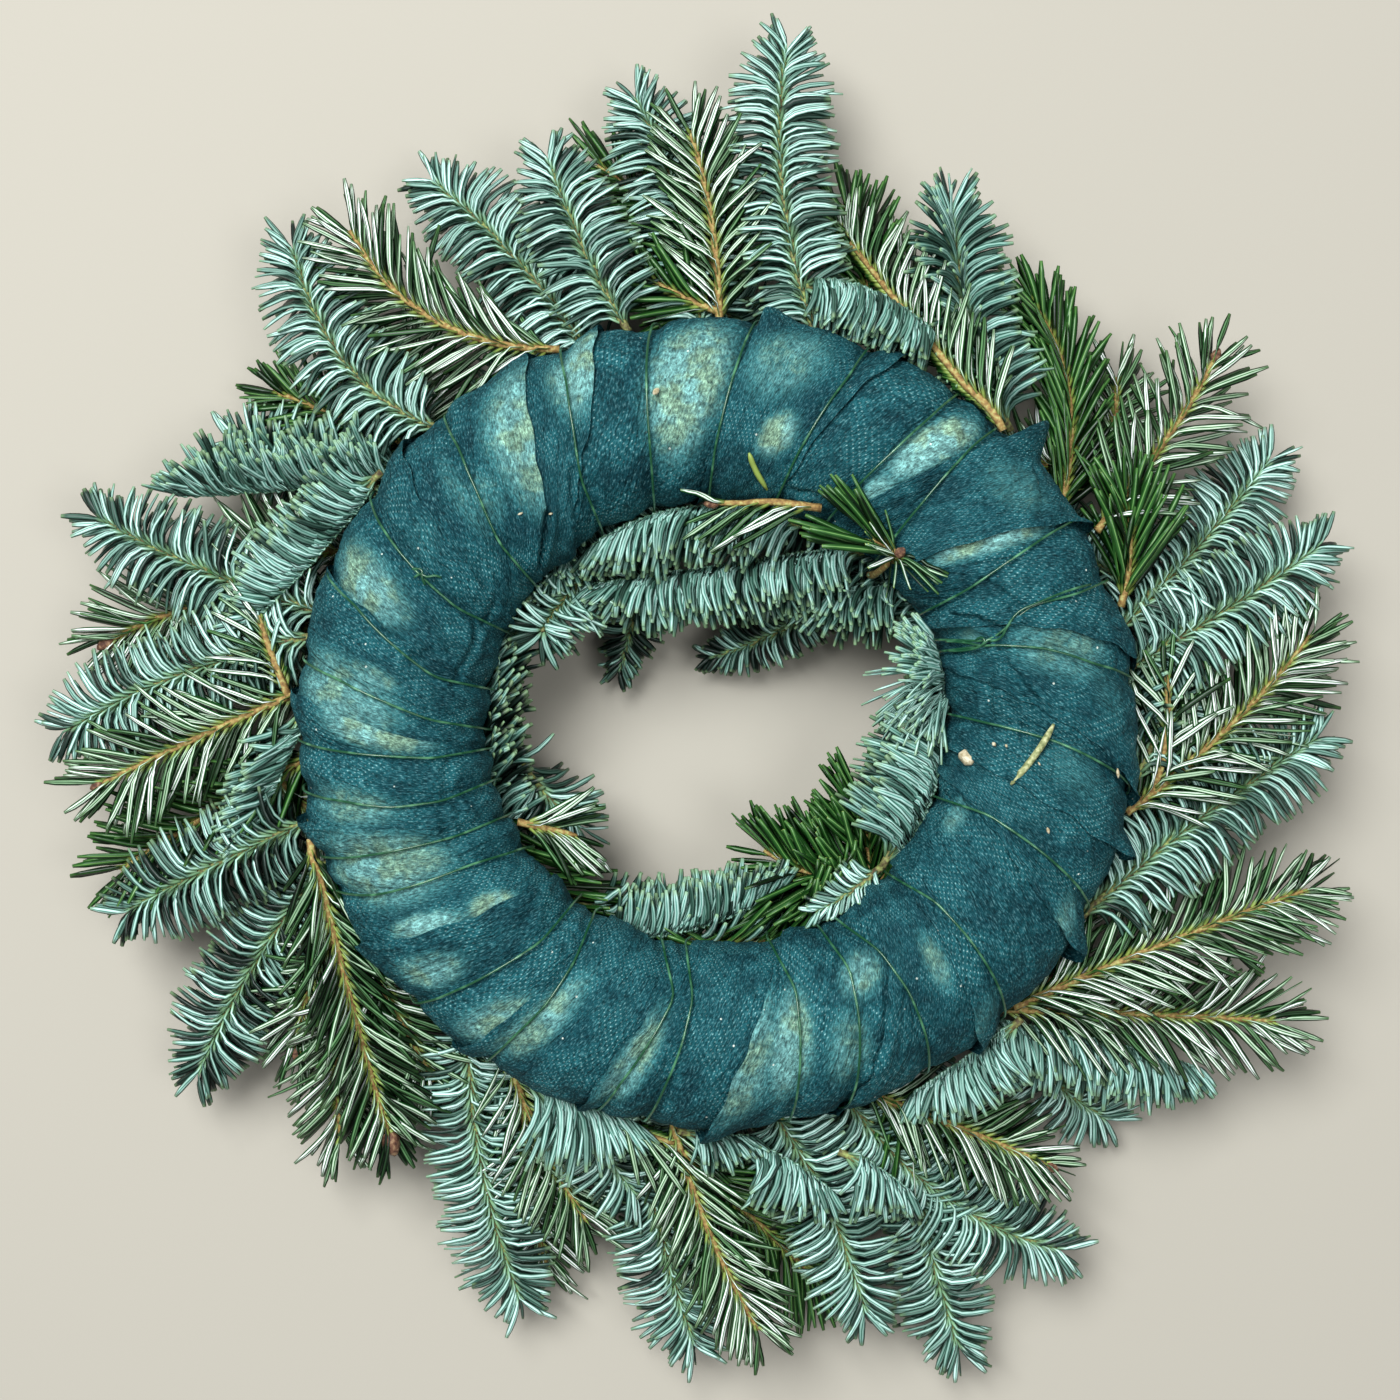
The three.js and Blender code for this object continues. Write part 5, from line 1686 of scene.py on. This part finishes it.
@dataclass(frozen=True)
class Fleece:
    """Spunbonded polypropylene fleece, dyed in the mass: matt, with a grid of small embossed dots.

    Attributes:
        dot_pitch: From one dot to the next.
        deep: Colour where the dye is densest.
        plain: Colour where it is plain.
        fibre_highlight: Painted highlight: colour of pale fibres that catch the light.
        dot: Colour of the dots.
        rubbed: Colour of the fleece where it is rubbed.
        stained: Colour of stains in the rubbed patches.
        faded: Colour of the haze round a worn patch.
        speck: Colour of the specks.
    """

    dot_pitch: float = 1.4
    deep: str = "#0b3a43"
    plain: str = "#1b5a62"
    fibre_highlight: str = "#7fa6a6"
    dot: str = "#93b9ba"
    rubbed: str = "#73a3a0"
    stained: str = "#7f9d84"
    faded: str = "#3e7a7d"
    speck: str = "#dfe6dc"

    def material(self) -> bpy.types.Material:
        """Build the material: dots, fibres with painted highlights, folds with painted shade, specks, and crinkled
        patches where it is rubbed or stained, with painted light and shade on the crinkles.

        Returns:
            The material.
        """
        made, add, shader = principled("fleece_spunbonded")
        strip = add("UVMap", uv_map="pattern")
        place = add("TexCoord").outputs["Object"]

        # Noise whose features have the size in millimetres given here: cloudiness, fibres along the strip, folds
        # that run along it, crinkles of the rubbed patches, the hair lines between them, and stains
        noise = {}
        for name, source, size, more in (
            ("cloud", place, (12, 12, 12), {"Detail": 4.0, "Roughness": 0.6}),
            ("fibres", strip, (0.5, 1.5, 1), {"Detail": 3.0, "Roughness": 0.7}),
            ("folds", strip, (9, 34, 1), {"Detail": 2.0, "Distortion": 1.1}),
            ("crinkle", place, (2.5, 2.5, 2.5), {"Detail": 5.0, "Roughness": 0.7, "Distortion": 0.8}),
            ("hair", place, (3.2, 3.2, 3.2), {"Detail": 3.0, "Roughness": 0.6, "Distortion": 2.2}),
            ("stain", place, (9, 9, 9), {"Detail": 4.0}),
        ):
            scaled = add("Mapping", {"Vector": source, "Scale": tuple(1 / (side * MM) for side in size)})
            noise[name] = add("TexNoise", {"Vector": scaled, "Scale": 1.0, **more})
        # The lines along which noise is one half: 0 on a line and 1 away from it
        line = {}
        for name, width in (("folds", 0.08), ("hair", 0.035)):
            offset = add("Math", [noise[name], 0.5], operation="SUBTRACT")
            line[name] = add("MapRange", [add("Math", [offset], operation="ABSOLUTE"), 0.0, width, 0.0, 1.0], **EASED)

        # The embossed dots: a square grid turned by 45 degrees on the strip, 1 at the middle of each dot
        side = 1 / (self.dot_pitch * MM)
        grid = add("Mapping", {"Vector": strip, "Rotation": (0.0, 0.0, np.radians(45.0)), "Scale": (side, side, 1.0)})
        cell = add("VectorMath", [grid], operation="FRACTION")
        centred = add("VectorMath", [cell, (0.5, 0.5, 0.0)], operation="SUBTRACT")
        dots = add("MapRange", [add("VectorMath", [centred], operation="LENGTH"), 0.09, 0.2, 1.0, 0.0], **EASED)

        clouded = add("MapRange", [noise["cloud"], 0.3, 0.7, 0.0, 1.0], **EASED)
        base = add("Mix", [clouded, self.deep, self.plain], **COLOURS)
        # Painted highlight: pale fibres that catch the light, where the fibre noise is high
        fibre_highlight_mask = add("MapRange", [noise["fibres"], 0.52, 0.74, 0.0, 0.34], **EASED)
        pale = add("Mix", [fibre_highlight_mask, base, self.fibre_highlight], **COLOURS)
        shown = add("MapRange", [noise["cloud"], 0.44, 0.64, 0.04, 0.7], **EASED)
        dotted = add("Mix", [add("Math", [dots, shown], operation="MULTIPLY"), pale, self.dot], **COLOURS)

        worn = add("Attribute", attribute_name="worn").outputs["Fac"]
        haze = add("MapRange", [worn, 0.05, 0.6, 0.0, 0.6], **EASED)
        hazed = add("Mix", [haze, dotted, self.faded], **COLOURS)
        ragged = add("Math", [noise["crinkle"], 1.3, -0.9], operation="MULTIPLY_ADD")
        reach = add("MapRange", [add("Math", [worn, ragged], operation="ADD"), 0.02, 0.75, 0.0, 1.0], **EASED)
        rubbed = add("Math", [reach, worn], operation="MULTIPLY")
        stained = add("MapRange", [noise["stain"], 0.44, 0.6, 0.0, 1.0], **EASED)
        patch = add("Mix", [stained, self.rubbed, self.stained], **COLOURS)
        faded = add("Mix", [rubbed, hazed, patch], **COLOURS)
        # White specks about 0.5 mm across, thinly strewn
        strewn = add("TexVoronoi", {"Vector": place, "Scale": 130.0})
        speck = add("MapRange", [strewn, 0.03, 0.055, 0.9, 0.0], **EASED)
        specked = add("Mix", [speck, faded, self.speck], **COLOURS)

        grain = add("MapRange", [noise["fibres"], 0.3, 0.7, 0.38, 1.62], **EASED)
        # Painted light and shade: in the rubbed patches the colour brightens and darkens with the crinkles, with
        # painted highlights along the hair lines
        uneven = add("MapRange", [noise["crinkle"], 0.36, 0.66, 0.6, 1.4], **EASED)
        hair = add("MapRange", [line["hair"], 0.0, 1.0, 1.5, 1.0], **EASED)
        crinkle_light_and_shade = add("Math", [uneven, hair], operation="MULTIPLY")
        painted_crinkle_light = add("Mix", [rubbed, "#ffffff", crinkle_light_and_shade], **COLOURS)
        # Painted shade: the colour darkens to 0.8 along the fold lines
        painted_fold_shade = add("MapRange", [line["folds"], 0.0, 1.0, 0.8, 1.0], **EASED)
        rough = add("Math", [grain, painted_crinkle_light], operation="MULTIPLY")
        shade = add("Math", [rough, painted_fold_shade], operation="MULTIPLY")
        colour = add("VectorMath", [specked, shade], operation="SCALE")
        normal = None
        for strength, distance, height in (
            (0.5, 0.0004, noise["fibres"]), (0.7, 0.0014, noise["crinkle"]), (0.4, 0.0012, line["folds"]),
        ):
            under = {"Normal": normal} if normal else {}
            normal = add("Bump", {"Strength": strength, "Distance": distance, "Height": height, **under})
        plug(shader, {"Base Color": colour, "Normal": normal, "Roughness": 0.7, "Specular IOR Level": 0.12})
        return made


FINISHES: dict[str, Union[NeedleFinish, Mottled, Fleece]] = {
    # Noble fir needles: glaucous, wax on both sides, with a darker line between two paler ones
    "noble": NeedleFinish(
        "needle_noble_fir_waxy",
        upper=((0.0, "#528c7e"), (0.14, "#649d90"), (0.3, "#c2e4dc"), (0.58, "#b4d9d0"), (0.8, "#407062")),
        lower=((0.0, "#4e8676"), (0.12, "#609888"), (0.26, "#dcf9f2"), (0.6, "#cff1e8"), (0.8, "#366656")),
        foot="#86ae80", foot_reach=0.26, tip="#8cab7c",
        # The darkest shades are painted shade, for needles below the stem and shoots in shade
        shades=((0.0, "#1c2c25"), (0.14, "#6c8278"), (0.4, "#c0d0ca"), (0.85, "#ffffff")), roughness=0.45,
    ),
    # Nordmann fir needles: glossy dark green above, two white lines of wax below
    "nordmann": NeedleFinish(
        "needle_nordmann_fir_glossy",
        upper=((0.0, "#8fb070"), (0.1, "#6d9a55"), (0.2, "#32602c"), (0.8, "#2c5726"), (1.0, "#234820")),
        lower=((0.0, "#2f6b33"), (0.13, "#37733b"), (0.21, "#ffffff"), (0.52, "#ffffff"), (0.62, "#1c5222")),
        foot="#9db056", foot_reach=0.15, tip="#4d7a3c",
        # The darkest shades are painted shade, for needles below the stem and shoots in shade
        shades=((0.0, "#1a381a"), (0.14, "#5e8a5a"), (0.4, "#cfe6ca"), (0.8, "#ffffff")), roughness=0.36,
    ),
    # Thin living bark, brown bud scales, cut and dry wood: matt and flaky, so they show no highlight
    "noble_bark": bark("bark_noble_fir", "#4c3a26", "#7c7a48", "#9aa85f"),
    "nordmann_bark": bark("bark_nordmann_fir", "#7a5a30", "#a3824a", "#b5ae6c"),
    "bud": bark("bud_scales_fir", "#4a2c20", "#76503c", "#a58463"),
    "cut": bark("wood_fir_cut_across", "#b0875a", "#cfae84", "#dcc29e"),
    "split": bark("twig_split_green", "#6d7448", "#a3a673", "#c9c79b"),
    "chip": bark("wood_chip_dry", "#9c8a68", "#c2b394", "#dcd2ba"),
    # Bound dry straw: pale stalks about 3 mm thick that lie round the ring
    "straw": Mottled(
        "straw_bound_dry", ((0.35, "#8d6f3d"), (0.65, "#cdb27a")), scale=330.0, roughness=0.7, bump=0.8,
        bump_height=0.001,
    ),
    # Florist's iron wire under green lacquer: smooth and glossy, thin in places about 5 mm long
    "wire": Mottled(
        "wire_green_lacquered", ((0.5, "#164a2d"), (0.75, "#5b966e")), scale=200.0, detail=2.0, roughness=0.3,
        bump=0.0, coat=0.5,
    ),
    # Spunbonded polypropylene, dyed in the mass and embossed
    "fleece": Fleece(),
}


@dataclass(frozen=True)
class Studio:
    """A pale floor, soft light from above and a camera that looks straight down on the wreath.

    Attributes:
        camera_height: The camera's height in metres.
        lens: Its focal length.
        sensor_width: Its sensor's width.
        floor_size: The floor's side in metres.
        floor_colour: The floor's colour.
        light_colour: The lights' colour.
        sky_colour: The sky's colour.
        sky_strength: How bright the sky is.
    """

    camera_height: float = 0.7
    lens: float = 54.38
    sensor_width: float = 36.0
    floor_size: float = 6.0
    floor_colour: str = "#b3aba0"
    light_colour: tuple[float, float, float] = (0.94, 1.0, 1.0)
    sky_colour: tuple[float, float, float, float] = (0.93, 0.97, 1.0, 1.0)
    sky_strength: float = 0.2

    def placed(self, name: str, data: bpy.types.ID) -> bpy.types.Object:
        """An object of that name in the scene."""
        made = bpy.data.objects.new(name, data)
        bpy.context.scene.collection.objects.link(made)
        return made

    def floor(self) -> None:
        """A plain pale floor of matt paint, a little below the needles."""
        mesh = bpy.data.meshes.new("floor")
        half = self.floor_size / 2
        mesh.from_pydata([(-half, -half, 0), (half, -half, 0), (half, half, 0), (-half, half, 0)], [], [(0, 1, 2, 3)])
        material, _, shader = principled("floor_painted_matt")
        plug(shader, {"Base Color": self.floor_colour, "Roughness": 0.9})
        mesh.materials.append(material)
        self.placed("floor", mesh)

    def lamp(self, name: str, place: Place, size: float, power: float) -> None:
        """A soft square light at a place, turned towards the wreath.

        Args:
            name: The light's name.
            place: Where it hangs, in metres.
            size: Its side, in metres.
            power: Its power in watts.
        """
        light = bpy.data.lights.new(name, "AREA")
        light.size, light.energy, light.color = size, power, self.light_colour
        made = self.placed(name, light)
        made.location = place
        x, y, z = place
        made.rotation_euler = (float(np.arctan2(np.hypot(x, y), z)), 0.0, float(np.arctan2(-x, y) + np.pi))

    def set_up(self) -> None:
        """Set up the floor, the lights, the sky and the camera."""
        scene = bpy.context.scene
        self.floor()
        self.lamp("light_key", (-0.5, 0.6, 1.7), 1.0, 50.0)
        self.lamp("light_fill", (0.6, -0.2, 1.6), 0.6, 8.0)
        world = bpy.data.worlds.new("sky")
        world.use_nodes = True
        sky = world.node_tree.nodes["Background"]
        plug(sky, {"Color": self.sky_colour, "Strength": self.sky_strength})
        scene.world = world
        camera = bpy.data.cameras.new("camera")
        camera.lens = self.lens
        camera.sensor_width = self.sensor_width
        made = self.placed("camera", camera)
        made.location = (0.0, 0.0, self.camera_height)
        scene.camera = made
        scene.view_settings.view_transform = "Standard"


def main() -> None:
    """Build the wreath's pieces in order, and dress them."""
    logging.basicConfig(level=logging.INFO)
    Studio().set_up()
    materials = {name: finish.material() for name, finish in FINISHES.items()}
    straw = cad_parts["straw_ring"].data.materials
    straw.clear()
    straw.append(materials["straw"])
    logger.info("band: %s", Band().build(materials["fleece"]).name)
    logger.info("wire: %s", BindingWire().build(materials["wire"]).name)
    logger.info("bits: %s", LooseBits().build([materials[name] for name in ("split", "chip", "nordmann")]).name)
    total = 0
    for number, (kind, shoots) in enumerate(SPRAYS, start=1):
        made = Spray(kind, shoots, number).build(materials)
        total += len(made.data.polygons)
    logger.info("sprays: %d, faces: %d", len(SPRAYS), total)
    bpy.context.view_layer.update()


if __name__ == "__main__":
    main()
